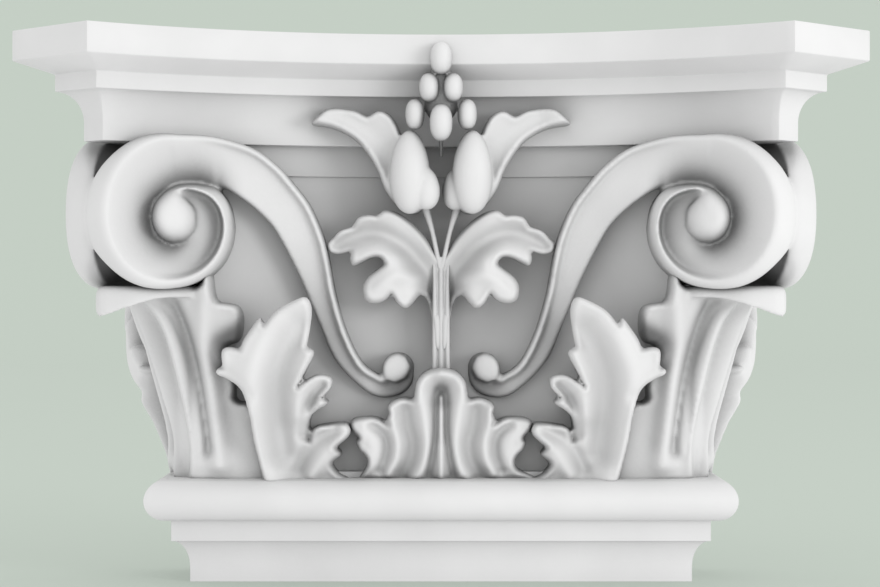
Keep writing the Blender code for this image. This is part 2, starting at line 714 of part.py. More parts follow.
def corner_rib(name, size, material):
    """Broad rib of the corner leaf on the diagonal, from the base to under the hood."""
    loops = []
    for up, stand in ((-2, CORNER_RIB[0][1]),) + CORNER_RIB:
        z = BASE_HEIGHT + up * size / 100
        out = stand * size / 100
        wide = RIB_HALF_WIDTH
        half = [(1.1 * wide, -RIB_SUNK), (wide, out - RIB_ROUND), (wide - RIB_ROUND, out)]
        plan = half + [(-q, s) for q, s in reversed(half)]
        loops.append([at_corner(q, s, z) for q, s in plan])
    return stack(name, loops, material)


def corner_hood(name, size, material):
    """Curled tip of the corner leaf, which hangs over the rib and carries the volutes."""
    ring = lobed(scaled(HOOD_PLAN), size, CARVING_STEP)
    inner = hex_points(ring, CARVING_STEP * INNER_COARSER)
    unit = size / 100
    top = HOOD_TOP * unit

    def upper(points):
        edge = np.clip(distance_to(points, ring, True) / (HOOD_ROUND * unit), 0, 1)
        return top - HOOD_DROP * unit * (1 - np.sqrt(1 - (1 - edge) ** 2))

    def lower(points):
        front = np.clip((points[:, 1] / unit - HOOD_LIP_FROM) / HOOD_LIP_RUN, 0, 1)
        return top - (HOOD_THICK + (HOOD_LIP - HOOD_THICK) * front ** 2) * unit

    def turned(q, z, stand):
        return at_corner(q, stand, BASE_HEIGHT + z)

    return carve(name, ring, inner, upper, lower, turned, material)


def corner_leaf(material):
    """Both faces of the corner leaf with its rib and hood."""
    size = CORNER_LEAF_HEIGHT_SHARE * CARVED
    foot = (SHAFT_WIDTH / 2 - BELL_SET_IN, BASE_HEIGHT)
    table = (CORNER_LEAF, CORNER_LEAF_STAND, CORNER_LEAF_BACK, CORNER_LEAF_VEINS, size, foot)
    return [leaf("corner_leaf_front", *table, at_front, material),
            leaf("corner_leaf_side", *table, at_side, material),
            corner_rib("corner_rib", size, material),
            corner_hood("corner_hood", size, material)]


def flower(material):
    """Petal, two buds and the stalk of the flower on one side of the stem."""
    size = FLOWER_HEIGHT_SHARE * CARVED
    unit = size / 100
    foot = (0.0, BASE_HEIGHT + FLOWER_UP_SHARE * CARVED)
    made = [leaf("petal", FLOWER_PETAL, FLOWER_PETAL_STAND, FLOWER_PETAL_BACK,
                 FLOWER_PETAL_VEINS, size, foot, at_front, material)]
    for i, (across, up, wide, high, stand) in enumerate(BUDS):
        centre = at_front(across * unit, BELL_D - stand * unit, foot[1] + up * unit)
        half = (wide * unit, wide * unit, high * unit)
        made.append(ellipsoid("bud_%d" % i, centre, half, material, BUD_SIDES))
    return made


def berries(material):
    """Cluster of six berries over the flowers, on a core that joins them to the abacus."""
    unit = FLOWER_HEIGHT_SHARE * CARVED / 100
    foot_z = BASE_HEIGHT + FLOWER_UP_SHARE * CARVED
    made = []
    for i, (across, up, wide, high, stand) in enumerate(BERRIES):
        for side in ((1,) if across == 0 else (1, -1)):
            centre = at_front(side * across * unit, BELL_D - stand * unit, foot_z + up * unit)
            half = (wide * unit, wide * BERRY_DEEPER * unit, high * unit)
            made.append(ellipsoid("berry_%d_%d" % (i, side), centre, half, material,
                                  BERRY_SIDES))
    path = [(0, BELL_D - stand * unit, foot_z + up * unit) for up, _, stand in CORE]
    radii = [radius * unit for _, radius, _ in CORE]
    made.append(rod("berry_core", path, radii, material, BERRY_SIDES))
    return made


def stem(material):
    """Three strands rising from the centre leaf and parting to the two flowers."""
    low = BASE_HEIGHT + STEM_LOW_SHARE * CARVED
    fork = BASE_HEIGHT + STEM_FORK_SHARE * CARVED
    top = BASE_HEIGHT + STEM_TOP_SHARE * CARVED
    deep = BELL_D - STEM_STAND
    made = []
    for side in (-1, 0, 1):
        path = [(side * STRAND_APART, deep, z) for z in (low, fork)]
        made.append(rod("strand_%d" % side, path, [STRAND_R] * 2, material))
    heights = (fork - STALK_BELOW_FORK, fork + STALK_ABOVE_FORK, top)
    for side in (-1, 1):
        path = [(side * apart, deep - out, z)
                for apart, out, z in zip(STALK_APART, STALK_OUT, heights)]
        made.append(rod("flower_stalk_%d" % side, path, [STALK_R] * 3, material))
    web = [(0, deep + WEB_IN, z) for z in (low, fork, top)]
    made.append(rod("stem_web", web, WEB_R, material, 4))
    return made


def mirror_copy(item):
    """The same form on the other side of the middle."""
    mesh = item.data.copy()
    mesh.transform(Matrix.Scale(-1, 4, (1, 0, 0)))
    mesh.flip_normals()
    twin = bpy.data.objects.new(item.name + "_left", mesh)
    bpy.context.scene.collection.objects.link(twin)
    return twin


def cut_at_wall(item):
    """Trim a form at the wall plane and close the cut."""
    work = bmesh.new()
    work.from_mesh(item.data)
    plane = Vector((0, WALL_Y - WALL_GAP, 0))
    geometry = work.verts[:] + work.edges[:] + work.faces[:]
    cut = bmesh.ops.bisect_plane(work, geom=geometry, plane_co=plane, plane_no=(0, 1, 0),
                                 clear_outer=True)
    edges = [e for e in cut["geom_cut"] if isinstance(e, bmesh.types.BMEdge)]
    if edges:
        bmesh.ops.holes_fill(work, edges=edges, sides=0)
        bmesh.ops.recalc_face_normals(work, faces=work.faces)
    bmesh.ops.triangulate(work, faces=work.faces)
    work.to_mesh(item.data)
    work.free()


def build():
    clear_scene()
    material = plaster()
    capital = bell(material)
    capital.name = "capital"
    carved = bpy.data.collections.new("carved_forms")
    bpy.context.scene.collection.children.link(carved)

    size = MID_LEAF_HEIGHT_SHARE * CARVED
    foot = (MID_LEAF_ACROSS_SHARE * SHAFT_WIDTH / 2, BASE_HEIGHT + SINK)
    mid = (MID_LEAF, MID_LEAF_STAND, MID_LEAF_BACK, MID_LEAF_VEINS, size, foot)
    paired = [leaf("mid_leaf_front", *mid, at_front, material),
              leaf("mid_leaf_side", *mid, at_side, material),
              scroll("scroll_front", at_front, material),
              scroll("scroll_side", at_side, material)]
    upper = UPPER_LEAF_HEIGHT_SHARE * CARVED
    upper_foot = (0.0, BASE_HEIGHT + UPPER_LEAF_UP_SHARE * CARVED)
    paired.append(leaf("upper_leaf", UPPER_LEAF, UPPER_LEAF_STAND, UPPER_LEAF_BACK,
                       UPPER_LEAF_VEINS, upper, upper_foot, at_front, material, across=True))
    paired += corner_leaf(material)
    paired += flower(material)

    centre = CENTRE_LEAF_HEIGHT_SHARE * CARVED
    veins = [(rise, wide, [(side * a, b) for a, b in line])
             for rise, wide, line in CENTRE_LEAF_VEINS for side in (1, -1)]
    single = [leaf("centre_leaf", mirrored(CENTRE_LEAF), CENTRE_LEAF_STAND, CENTRE_LEAF_BACK,
                   veins, centre, (0.0, BASE_HEIGHT + SINK), at_front, material)]
    single += stem(material) + berries(material)
    single += [abacus(material), base(material)]

    for item in single + paired + [mirror_copy(item) for item in paired]:
        if item.name.split("_left")[0] not in ("abacus", "base"):
            cut_at_wall(item)
        bpy.context.scene.collection.objects.unlink(item)
        carved.objects.link(item)
        item.hide_render = True
        item.display_type = "WIRE"

    union = capital.modifiers.new("Carving", "BOOLEAN")
    union.operation = "UNION"
    union.solver = "EXACT"
    union.operand_type = "COLLECTION"
    union.collection = carved
    return capital


build()
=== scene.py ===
import math

import bmesh
import bpy
import numpy as np
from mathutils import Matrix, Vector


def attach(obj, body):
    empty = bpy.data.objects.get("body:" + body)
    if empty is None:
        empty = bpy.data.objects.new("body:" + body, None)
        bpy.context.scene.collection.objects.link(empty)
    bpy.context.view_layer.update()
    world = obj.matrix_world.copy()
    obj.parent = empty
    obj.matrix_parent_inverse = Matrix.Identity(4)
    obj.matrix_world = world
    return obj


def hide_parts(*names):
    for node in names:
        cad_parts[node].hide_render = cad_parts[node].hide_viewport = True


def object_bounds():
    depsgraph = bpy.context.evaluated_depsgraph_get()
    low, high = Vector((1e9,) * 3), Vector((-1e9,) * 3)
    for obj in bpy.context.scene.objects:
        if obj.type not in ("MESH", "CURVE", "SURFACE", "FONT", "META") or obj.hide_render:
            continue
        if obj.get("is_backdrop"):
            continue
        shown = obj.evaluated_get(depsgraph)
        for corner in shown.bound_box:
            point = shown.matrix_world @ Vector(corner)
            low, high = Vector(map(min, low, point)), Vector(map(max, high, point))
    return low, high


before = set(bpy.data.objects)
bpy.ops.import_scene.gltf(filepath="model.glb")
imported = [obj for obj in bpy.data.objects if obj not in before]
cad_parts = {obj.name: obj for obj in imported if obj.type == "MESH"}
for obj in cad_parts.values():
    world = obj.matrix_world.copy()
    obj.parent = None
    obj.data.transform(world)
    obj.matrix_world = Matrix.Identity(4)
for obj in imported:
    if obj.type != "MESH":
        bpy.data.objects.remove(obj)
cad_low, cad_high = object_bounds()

# Base mouldings. A straight foot, a hollow cove, a flat fillet and a fat round torus run
# across the front and back to the wall on both sides. They are cast in one with the rest
# of the capital, rubbed smooth and primed matt white.
HALF = cad_high.x
HEIGHT = cad_high.z
WALL_Y = cad_high.y
FRONT_Y = cad_low.y
HORN_REACH = 0.079
SHAFT_HALF = HALF - HORN_REACH
SHAFT_DEEP = WALL_Y - FRONT_Y - HORN_REACH
FOOT_HEIGHT = 0.0069
COVE_HEIGHT = 0.0135
COVE_OUT = 0.0082
FILLET_HEIGHT = 0.0099
TORUS_HEIGHT = 0.0201
TORUS_OUT = 0.0018
BASE_HEIGHT = FOOT_HEIGHT + COVE_HEIGHT + FILLET_HEIGHT + TORUS_HEIGHT
MOULDING_STEPS = 10
ARRIS = 0.0006
ARRIS_OVER = math.radians(34)
SMOOTH_UNDER = math.radians(32)
# Painted shade: how far the recess reading looks, and how closed a place must be to take the full
# painted shade
PAINTED_SHADE_REACH = 0.05
PAINTED_SHADE_FULL_BELOW = 0.15
CLOUD_DARK = (0.67, 0.67, 0.67, 1.0)
CLOUD_LIGHT = (0.72, 0.72, 0.72, 1.0)


def white_plaster(name, painted_shade_dark, unshaded_above):
    """Matt white primer with faint clouds and a fine tooth. Painted shade darkens it in closed
    recesses down to the darkest share given, and none is painted where a place is more open than
    the given openness."""
    material = bpy.data.materials.new(name)
    material.use_nodes = True
    nodes = material.node_tree.nodes
    links = material.node_tree.links
    shader = nodes["Principled BSDF"]
    place = nodes.new("ShaderNodeTexCoord")

    clouds = nodes.new("ShaderNodeTexNoise")
    clouds.inputs["Scale"].default_value = 22.0
    clouds.inputs["Detail"].default_value = 4.0
    links.new(place.outputs["Object"], clouds.inputs["Vector"])
    tint = nodes.new("ShaderNodeValToRGB")
    tint.color_ramp.elements[0].position = 0.3
    tint.color_ramp.elements[0].color = CLOUD_DARK
    tint.color_ramp.elements[1].position = 0.7
    tint.color_ramp.elements[1].color = CLOUD_LIGHT
    links.new(clouds.outputs["Fac"], tint.inputs["Fac"])
    # Painted shade: an ambient occlusion reading greys the base colour in recesses
    recess = nodes.new("ShaderNodeAmbientOcclusion")
    recess.samples = 4
    recess.inputs["Distance"].default_value = PAINTED_SHADE_REACH
    painted_shade = nodes.new("ShaderNodeMapRange")
    painted_shade.inputs["From Min"].default_value = PAINTED_SHADE_FULL_BELOW
    painted_shade.inputs["From Max"].default_value = unshaded_above
    painted_shade.inputs["To Min"].default_value = painted_shade_dark
    links.new(recess.outputs["AO"], painted_shade.inputs["Value"])
    shaded_tint = nodes.new("ShaderNodeMix")
    shaded_tint.data_type = "RGBA"
    shaded_tint.blend_type = "MULTIPLY"
    shaded_tint.inputs["Factor"].default_value = 1.0
    links.new(tint.outputs["Color"], shaded_tint.inputs["A"])
    links.new(painted_shade.outputs["Result"], shaded_tint.inputs["B"])
    links.new(shaded_tint.outputs["Result"], shader.inputs["Base Color"])

    sheen = nodes.new("ShaderNodeMapRange")
    sheen.inputs["To Min"].default_value = 0.48
    sheen.inputs["To Max"].default_value = 0.64
    links.new(clouds.outputs["Fac"], sheen.inputs["Value"])
    links.new(sheen.outputs["Result"], shader.inputs["Roughness"])

    tooth = nodes.new("ShaderNodeTexNoise")
    tooth.inputs["Scale"].default_value = 700.0
    tooth.inputs["Detail"].default_value = 2.0
    links.new(place.outputs["Object"], tooth.inputs["Vector"])
    bump = nodes.new("ShaderNodeBump")
    bump.inputs["Strength"].default_value = 0.05
    bump.inputs["Distance"].default_value = 0.0004
    links.new(tooth.outputs["Fac"], bump.inputs["Height"])
    links.new(bump.outputs["Normal"], shader.inputs["Normal"])
    shader.inputs["Specular IOR Level"].default_value = 0.3
    return material


def deselect():
    bpy.ops.object.select_all(action="DESELECT")


def pick(piece):
    deselect()
    piece.select_set(True)
    bpy.context.view_layer.objects.active = piece


def face_out(piece):
    """Every face turned to look outwards."""
    pick(piece)
    bpy.ops.object.mode_set(mode="EDIT")
    bpy.ops.mesh.select_all(action="SELECT")
    bpy.ops.mesh.normals_make_consistent(inside=False)
    bpy.ops.object.mode_set(mode="OBJECT")


def ease_edges(piece, width=ARRIS):
    """Arrises rounded as a rubbed casting's are."""
    pick(piece)
    bevel = piece.modifiers.new("Eased", "BEVEL")
    bevel.width = width
    bevel.segments = 2
    bevel.limit_method = "ANGLE"
    bevel.angle_limit = ARRIS_OVER
    bpy.ops.object.modifier_apply(modifier="Eased")
    bpy.ops.object.shade_smooth_by_angle(angle=SMOOTH_UNDER)


def points_of(piece):
    flat = np.empty(3 * len(piece.data.vertices), np.float32)
    piece.data.vertices.foreach_get("co", flat)
    return flat.reshape(-1, 3).astype(float)


def put_points(piece, points):
    piece.data.vertices.foreach_set("co", np.asarray(points, np.float32).ravel())
    piece.data.update()


def finish_cast(piece, material):
    """Nothing is left past the wall, and the piece gets its material and its place."""
    points = points_of(piece)
    points[:, 1] = np.minimum(points[:, 1], WALL_Y)
    put_points(piece, points)
    piece.data.materials.clear()
    piece.data.materials.append(material)
    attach(piece, "root")


# Painted shade, light, in the mouldings' recesses
moulded_plaster = white_plaster("moulded_plaster", painted_shade_dark=0.78, unshaded_above=0.85)
deselect()
bpy.ops.mesh.primitive_plane_add(size=1.0)
base = bpy.context.object
base.name = "base_mouldings"
for corner in base.data.vertices:
    corner.co = (math.copysign(SHAFT_HALF, corner.co.x),
                 WALL_Y - (SHAFT_DEEP if corner.co.y < 0 else 0.0), 0.0)

profile = [(0.0, FOOT_HEIGHT)]
for i in range(1, MOULDING_STEPS + 1):
    turn = math.pi / 2 * i / MOULDING_STEPS
    profile.append((COVE_OUT * (1 - math.cos(turn)), FOOT_HEIGHT + COVE_HEIGHT * math.sin(turn)))
fillet_top = FOOT_HEIGHT + COVE_HEIGHT + FILLET_HEIGHT
profile.append((COVE_OUT, fillet_top))
for i in range(2 * MOULDING_STEPS + 1):
    turn = math.pi * i / (2 * MOULDING_STEPS)
    profile.append((COVE_OUT + TORUS_OUT + TORUS_HEIGHT / 2 * math.sin(turn),
                    fillet_top + TORUS_HEIGHT / 2 * (1 - math.cos(turn))))

bpy.ops.object.mode_set(mode="EDIT")
bpy.ops.mesh.select_all(action="SELECT")
out_now, up_now = 0.0, 0.0
for out, up in profile:
    bpy.ops.mesh.extrude_region_move(TRANSFORM_OT_translate={"value": (0, 0, up - up_now)})
    wider = (SHAFT_HALF + out) / (SHAFT_HALF + out_now)
    deeper = (SHAFT_DEEP + out) / (SHAFT_DEEP + out_now)
    bpy.ops.transform.resize(value=(wider, deeper, 1), center_override=(0, WALL_Y, up))
    out_now, up_now = out, up
bpy.ops.object.mode_set(mode="OBJECT")
face_out(base)
ease_edges(base)
finish_cast(base, moulded_plaster)

# Bell. The drum behind the carving swells from the straight shaft to the hollow-sided
# abacus, and a flat band rings its top. It is what every leaf and scroll grows out of,
# and it is cut flat at the wall.
ABACUS_HEIGHT = 0.0516
CARVED = HEIGHT - ABACUS_HEIGHT - BASE_HEIGHT
ABACUS_Z = BASE_HEIGHT + CARVED
HORN_CUT = 0.0413
HOLLOW = 0.057
FASCIA_R = ((HALF - HORN_CUT) ** 2 + HOLLOW ** 2) / (2 * HOLLOW)
AXIS_OUT = FASCIA_R - HOLLOW
BELL_SET_IN = 0.005
BELL_D = HORN_REACH + BELL_SET_IN
BELL_CORNER = 0.0045
BELL_SWEPT_BY = 0.6
BELL_TOP_IN = 0.034
BELL_TOP_CORNER = 0.080
BAND_HEIGHT = 0.0145
BAND_OUT = 0.002
SINK = 0.001
COLLAR_HEIGHT = 0.0028
COLLAR_OUT = 0.0070
ARC_STEPS = 40
BELL_LEVELS = 24
HALVINGS = 50


def at_front(x, d, z):
    """A point on the front, with its depth d measured back from the horns."""
    return np.stack(np.broadcast_arrays(x, FRONT_Y + np.asarray(d), z), axis=-1)


def at_side(x, d, z):
    """The same point on the side face, mirrored about the corner's diagonal."""
    return np.stack(np.broadcast_arrays(HALF - np.asarray(d), FRONT_Y + HALF - np.asarray(x), z),
                    axis=-1)


def plan(depth_at, corner, z):
    """Level outline with hollow sides and cut corners, closed along the wall."""
    low, high = 0.0, HALF
    for _ in range(HALVINGS):
        middle = (low + high) / 2
        low, high = (middle, high) if middle - depth_at(middle) < corner else (low, middle)
    side_x = np.linspace(HALF - (WALL_Y - FRONT_Y), low, ARC_STEPS)
    front_x = np.linspace(low, 0, ARC_STEPS)
    side = at_side(side_x, [depth_at(x) for x in side_x], z)
    front = at_front(front_x, [depth_at(x) for x in front_x], z)
    half = np.concatenate([side, front])
    return np.concatenate([half, half[-2::-1] * (-1, 1, 1)])


def loft(name, loops):
    """A filled ring at the first outline, extruded from each outline to the next."""
    deselect()
    bpy.ops.mesh.primitive_circle_add(vertices=len(loops[0]), fill_type="NGON")
    piece = bpy.context.object
    piece.name = name
    piece.data.vertices.foreach_set("co", np.array(loops[0], np.float32).ravel())
    bpy.ops.object.mode_set(mode="EDIT")
    bpy.ops.mesh.select_all(action="SELECT")
    for before, after in zip(loops[:-1], loops[1:]):
        bpy.ops.mesh.extrude_region_move()
        shape = bmesh.from_edit_mesh(piece.data)
        for vert in [v for v in shape.verts if v.select]:
            nearest = np.argmin(np.linalg.norm(before - np.array(vert.co), axis=1))
            vert.co = after[nearest]
        bmesh.update_edit_mesh(piece.data)
    bpy.ops.object.mode_set(mode="OBJECT")
    face_out(piece)
    return piece


def eased(share):
    """From 0 to 1 with a soft start and end."""
    share = np.clip(share, 0, 1)
    return share * share * (3 - 2 * share)


def bell_face(share, out):
    """Depth of the bell's front at a share of its height, standing out by a ledge."""
    sweep = eased(share / BELL_SWEPT_BY)
    radius = FASCIA_R + BELL_TOP_IN
    return lambda x: (BELL_D * (1 - sweep) - out
                      + sweep * (math.sqrt(radius * radius - x * x) - AXIS_OUT))


band_foot = 1 - BAND_HEIGHT / CARVED
collar_top = COLLAR_HEIGHT / CARVED
levels = [(0.0, COLLAR_OUT), (collar_top, COLLAR_OUT)]
levels += [(share, 0.0) for share in np.linspace(collar_top, band_foot, BELL_LEVELS)]
levels += [(band_foot, BAND_OUT), (1.0, BAND_OUT)]
corner_foot = SHAFT_HALF - BELL_SET_IN - BELL_D - BELL_CORNER
corner_top = HALF - math.sqrt(2) * BELL_TOP_CORNER
loops = []
for share, out in levels:
    z = BASE_HEIGHT + share * CARVED + (SINK if share == 1 else 0) - (SINK if share == 0 else 0)
    cut = corner_foot + (corner_top - corner_foot) * share ** 2 + out * math.sqrt(2)
    loops.append(plan(bell_face(share, out), cut, z))
bell = loft("bell", loops)
ease_edges(bell)
# The bell's painted shade greys all of it, most in its recesses
finish_cast(bell, white_plaster("bell_plaster", painted_shade_dark=0.70, unshaded_above=1.4))
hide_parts("capital")

# Abacus. The moulded slab on top: a cavetto, a lip, a sloped soffit and a plain fascia,
# with hollow sides that sweep out to horns cut at 45 degrees. Its top is flat, for the
# work that it carries.
FASCIA_HEIGHT = 0.0141
SOFFIT_HEIGHT = 0.0063
LIP_HEIGHT = 0.008
LIP_IN = 0.0148
CAVETTO_HEIGHT = 0.0145
CAVETTO_IN = 0.0102

lip_top = HEIGHT - FASCIA_HEIGHT - SOFFIT_HEIGHT
hollow_top = lip_top - LIP_HEIGHT
profile = [(LIP_IN + CAVETTO_IN, ABACUS_Z)]
for i in range(MOULDING_STEPS + 1):
    turn = math.pi / 2 * i / MOULDING_STEPS
    profile.append((LIP_IN + CAVETTO_IN * math.cos(turn),
                    hollow_top - CAVETTO_HEIGHT * (1 - math.sin(turn))))
profile += [(LIP_IN, lip_top), (0.0, HEIGHT - FASCIA_HEIGHT), (0.0, HEIGHT)]
loops = []
for inward, z in profile:
    arc = lambda x, r=FASCIA_R + inward: math.sqrt(r * r - x * x) - AXIS_OUT
    loops.append(plan(arc, HALF - HORN_CUT - inward * math.sqrt(2), z))
abacus = loft("abacus", loops)
ease_edges(abacus)
finish_cast(abacus, moulded_plaster)

# Mid leaves. Four tall acanthus leaves lean off the bell, one on each face beside the
# corner leaves, with a fat rounded main rib, a shallow valley, grooved side lobes and
# thin turned rims. They are modelled in clay and cast with the bell.
MID_LEAF_HEIGHT = 0.544 * CARVED
MID_LEAF_FOOT = 0.595 * SHAFT_HALF
GRAIN = 0.0009
PLATE = 0.007
OUTLINE_STEP = 0.001
LEAF_ROUND = 0.0032
LEAF_LIP = 0.0007
LIP_AT = 0.6
LIP_SPREAD = 0.45
VEIN_STEP = 4.0
TABLE_STEP = 2.0
SMOOTHING = 0.5
PLATE_SOFTEN = 2
# A lobe runs from its notch through the points that shape it to the next lobe's notch,
# in hundredths of the leaf's height: across, then up
MID_LEAF = (
    ((15, -3), (20, 21), (22, 36), (26, 49), (33, 55), (39, 58), (39, 61)),
    ((36, 62), (36, 71), (32, 73)),
    ((26, 72), (24, 77), (20, 83), (15, 89)),
    ((13, 85), (6, 93), (-3, 98), (-10, 100), (-13, 94), (-12, 84)),
    ((-10, 73), (-14, 70), (-10, 61)),
    ((-5, 51), (-11, 56), (-17, 58), (-23, 56), (-23, 51)),
    ((-18, 45), (-21, 42), (-15, 38), (-11, 33)),
    ((-10, 21), (-13, 28), (-20, 30), (-31, 30.4), (-33, 24.5)),
    ((-25, 17), (-28, 13), (-23, 8), (-26, 3), (-33, -3)),
)
MID_LEAF_STAND = ((0, 15), (13, 19), (27, 24), (40, 31), (57, 38), (69, 41), (100, 45))
MID_LEAF_BACK = ((0, -8), (35, -2), (60, 22), (75, 32), (100, 37))
MID_LEAF_VEINS = (
    (7.0, 10.0, ((11, 0), (18, 30), (18, 58), (8, 80), (-7, 97))),
    (-8.0, 8.5, ((5, 14), (8, 50), (3, 72), (-5, 84))),
    (4.0, 6.0, ((-5, 36), (-6, 52), (-11, 68))),
    (-6.0, 3.5, ((-8, 24), (-11, 42), (-19, 52))),
    (3.0, 4.0, ((-13, 34), (-18, 44), (-22, 48))),
    (-4.0, 4.0, ((-4, 6), (-12, 20), (-24, 27))),
    (3.5, 4.5, ((-12, 2), (-20, 14), (-27, 22))),
    (-3.0, 4.0, ((22, 46), (30, 54), (35, 60))),
)


def through(points, step):
    """Smooth curve through the points, with both ends, cut into steps."""
    ring = [np.array(p, float) for p in points]
    ends = [2 * ring[0] - ring[1]] + ring + [2 * ring[-1] - ring[-2]]
    out = []
    for p0, p1, p2, p3 in zip(ends, ends[1:], ends[2:], ends[3:]):
        count = max(1, int(round(np.linalg.norm(p2 - p1) / step)))
        for t in np.arange(count) / count:
            out.append(0.5 * ((2 * p1) + (p2 - p0) * t + (2 * p0 - 5 * p1 + 4 * p2 - p3) * t ** 2
                              + (3 * p1 - p0 - 3 * p2 + p3) * t ** 3))
    return np.array(out + [ring[-1]])


def lobed(lobes, unit):
    """Closed outline in metres: smooth within each lobe, sharp in the notch after it."""
    parts = []
    for lobe, after in zip(lobes, lobes[1:] + lobes[:1]):
        parts.append(through(lobe + after[:1], OUTLINE_STEP / unit)[:-1])
    return np.concatenate(parts) * unit


def gap_to(points, line, closed=False):
    """Distance of each point to a line of short segments."""
    ends = np.roll(line, -1, axis=0) if closed else line[1:]
    best = np.full(len(points), 1e9)
    for a, b in zip(line, ends):
        along = b - a
        t = np.clip(((points - a) @ along) / max(along @ along, 1e-18), 0, 1)
        off = points - a - t[:, None] * along
        best = np.minimum(best, off[:, 0] ** 2 + off[:, 1] ** 2)
    return np.sqrt(best)


def at_table(values, table):
    """Value read from a table of pairs through a smooth curve."""
    smooth = through(table, TABLE_STEP)
    return np.interp(values, smooth[:, 0], smooth[:, 1])


def apply_modifier(piece, kind, **settings):
    pick(piece)
    modifier = piece.modifiers.new(kind.title(), kind)
    for key, value in settings.items():
        setattr(modifier, key, value)
    bpy.ops.object.modifier_apply(modifier=modifier.name)


def blank(name, ring, grain=GRAIN, thick=PLATE):
    """Flat plate of the outline, with points a grain apart all over it, ready to carve."""
    deselect()
    bpy.ops.mesh.primitive_circle_add(vertices=len(ring), fill_type="NGON")
    piece = bpy.context.object
    piece.name = name
    flat = np.concatenate([ring, np.zeros((len(ring), 1))], axis=1)
    piece.data.vertices.foreach_set("co", flat.astype(np.float32).ravel())
    bpy.ops.object.mode_set(mode="EDIT")
    bpy.ops.mesh.select_all(action="SELECT")
    bpy.ops.mesh.quads_convert_to_tris(ngon_method="BEAUTY")
    bpy.ops.mesh.extrude_region_move(TRANSFORM_OT_translate={"value": (0, 0, thick)})
    bpy.ops.object.mode_set(mode="OBJECT")
    face_out(piece)
    apply_modifier(piece, "REMESH", mode="VOXEL", voxel_size=grain)
    apply_modifier(piece, "SMOOTH", factor=SMOOTHING, iterations=PLATE_SOFTEN)
    return piece


def copy_of(piece, name):
    twin = piece.copy()
    twin.data = piece.data.copy()
    twin.name = name
    bpy.context.scene.collection.objects.link(twin)
    return twin


def other_hand(piece, name):
    """The same form on the left of the middle."""
    twin = copy_of(piece, name)
    put_points(twin, points_of(twin) * (-1, 1, 1))
    face_out(twin)
    return twin


def cut_at_wall(piece):
    """Cut flat at the wall plane and closed there."""
    pick(piece)
    bpy.ops.object.mode_set(mode="EDIT")
    bpy.ops.mesh.select_all(action="SELECT")
    bpy.ops.mesh.bisect(plane_co=(0, WALL_Y, 0), plane_no=(0, 1, 0), use_fill=True,
                        clear_outer=True)
    bpy.ops.object.mode_set(mode="OBJECT")


def carve(plate, thick, front, back, places):
    """Each copy of a blank, pushed out to its two carved surfaces where place puts them."""
    flat = points_of(plate)
    near, far = front(flat[:, :2]), back(flat[:, :2])
    share = np.clip(flat[:, 2] / thick, 0, 1)
    deep = far + (near - far) * share
    made = []
    for name, place in places:
        piece = copy_of(plate, name)
        put_points(piece, place(flat[:, 0], deep, flat[:, 1]))
        face_out(piece)
        made.append(piece)
    bpy.data.objects.remove(plate, do_unlink=True)
    return made


def leaf_relief(points, ring, veins, unit, lip=LEAF_LIP, soft=LEAF_ROUND):
    """Height of the carving over the leaf's sweep: veins, a turned lip and a rounded edge."""
    height = np.zeros(len(points))
    for rise, wide, line in veins:
        gap = gap_to(points, through(line, VEIN_STEP) * unit)
        height += rise * unit * np.exp(-(gap / (wide * unit)) ** 2)
    from_edge = gap_to(points, ring, True)
    height += lip * np.exp(-((from_edge - LIP_AT * soft) / (LIP_SPREAD * soft)) ** 2)
    edge = np.clip(from_edge / soft, 0, 1)
    return height - soft * (1 - np.sqrt(1 - (1 - edge) ** 2))


def leaf(name, lobes, size, foot, stand, behind, veins, places, across=False):
    """One carved leaf, whose sweep off the bell follows its height, or its length across."""
    unit = size / 100
    ring = lobed(lobes, unit)
    axis = 0 if across else 1

    def front(points):
        sweep = at_table(points[:, axis] / unit, stand) * unit
        return BELL_D - sweep - leaf_relief(points, ring, veins, unit)

    def back(points):
        return BELL_D - at_table(points[:, axis] / unit, behind) * unit

    spots = [(label, lambda u, d, v, f=place: f(foot[0] + u, d, foot[1] + v))
             for label, place in places]
    return carve(blank(name, ring), PLATE, front, back, spots)


def finish_carved(piece, material):
    pick(piece)
    bpy.ops.object.shade_smooth()
    finish_cast(piece, material)


def finish_pair(piece, material):
    """The piece on the right, and the same on the left."""
    finish_carved(piece, material)
    finish_carved(other_hand(piece, piece.name.replace("right", "left")), material)


# Painted shade, strong, in the carving's recesses
plaster = white_plaster("carved_plaster", painted_shade_dark=0.25, unshaded_above=0.86)
mid_leaves = leaf("mid_leaf", MID_LEAF, MID_LEAF_HEIGHT, (MID_LEAF_FOOT, BASE_HEIGHT),
                  MID_LEAF_STAND, MID_LEAF_BACK, MID_LEAF_VEINS,
                  (("mid_leaf_front_right", at_front), ("mid_leaf_side_right", at_side)))
for piece in mid_leaves:
    cut_at_wall(piece)
    finish_pair(piece, plaster)

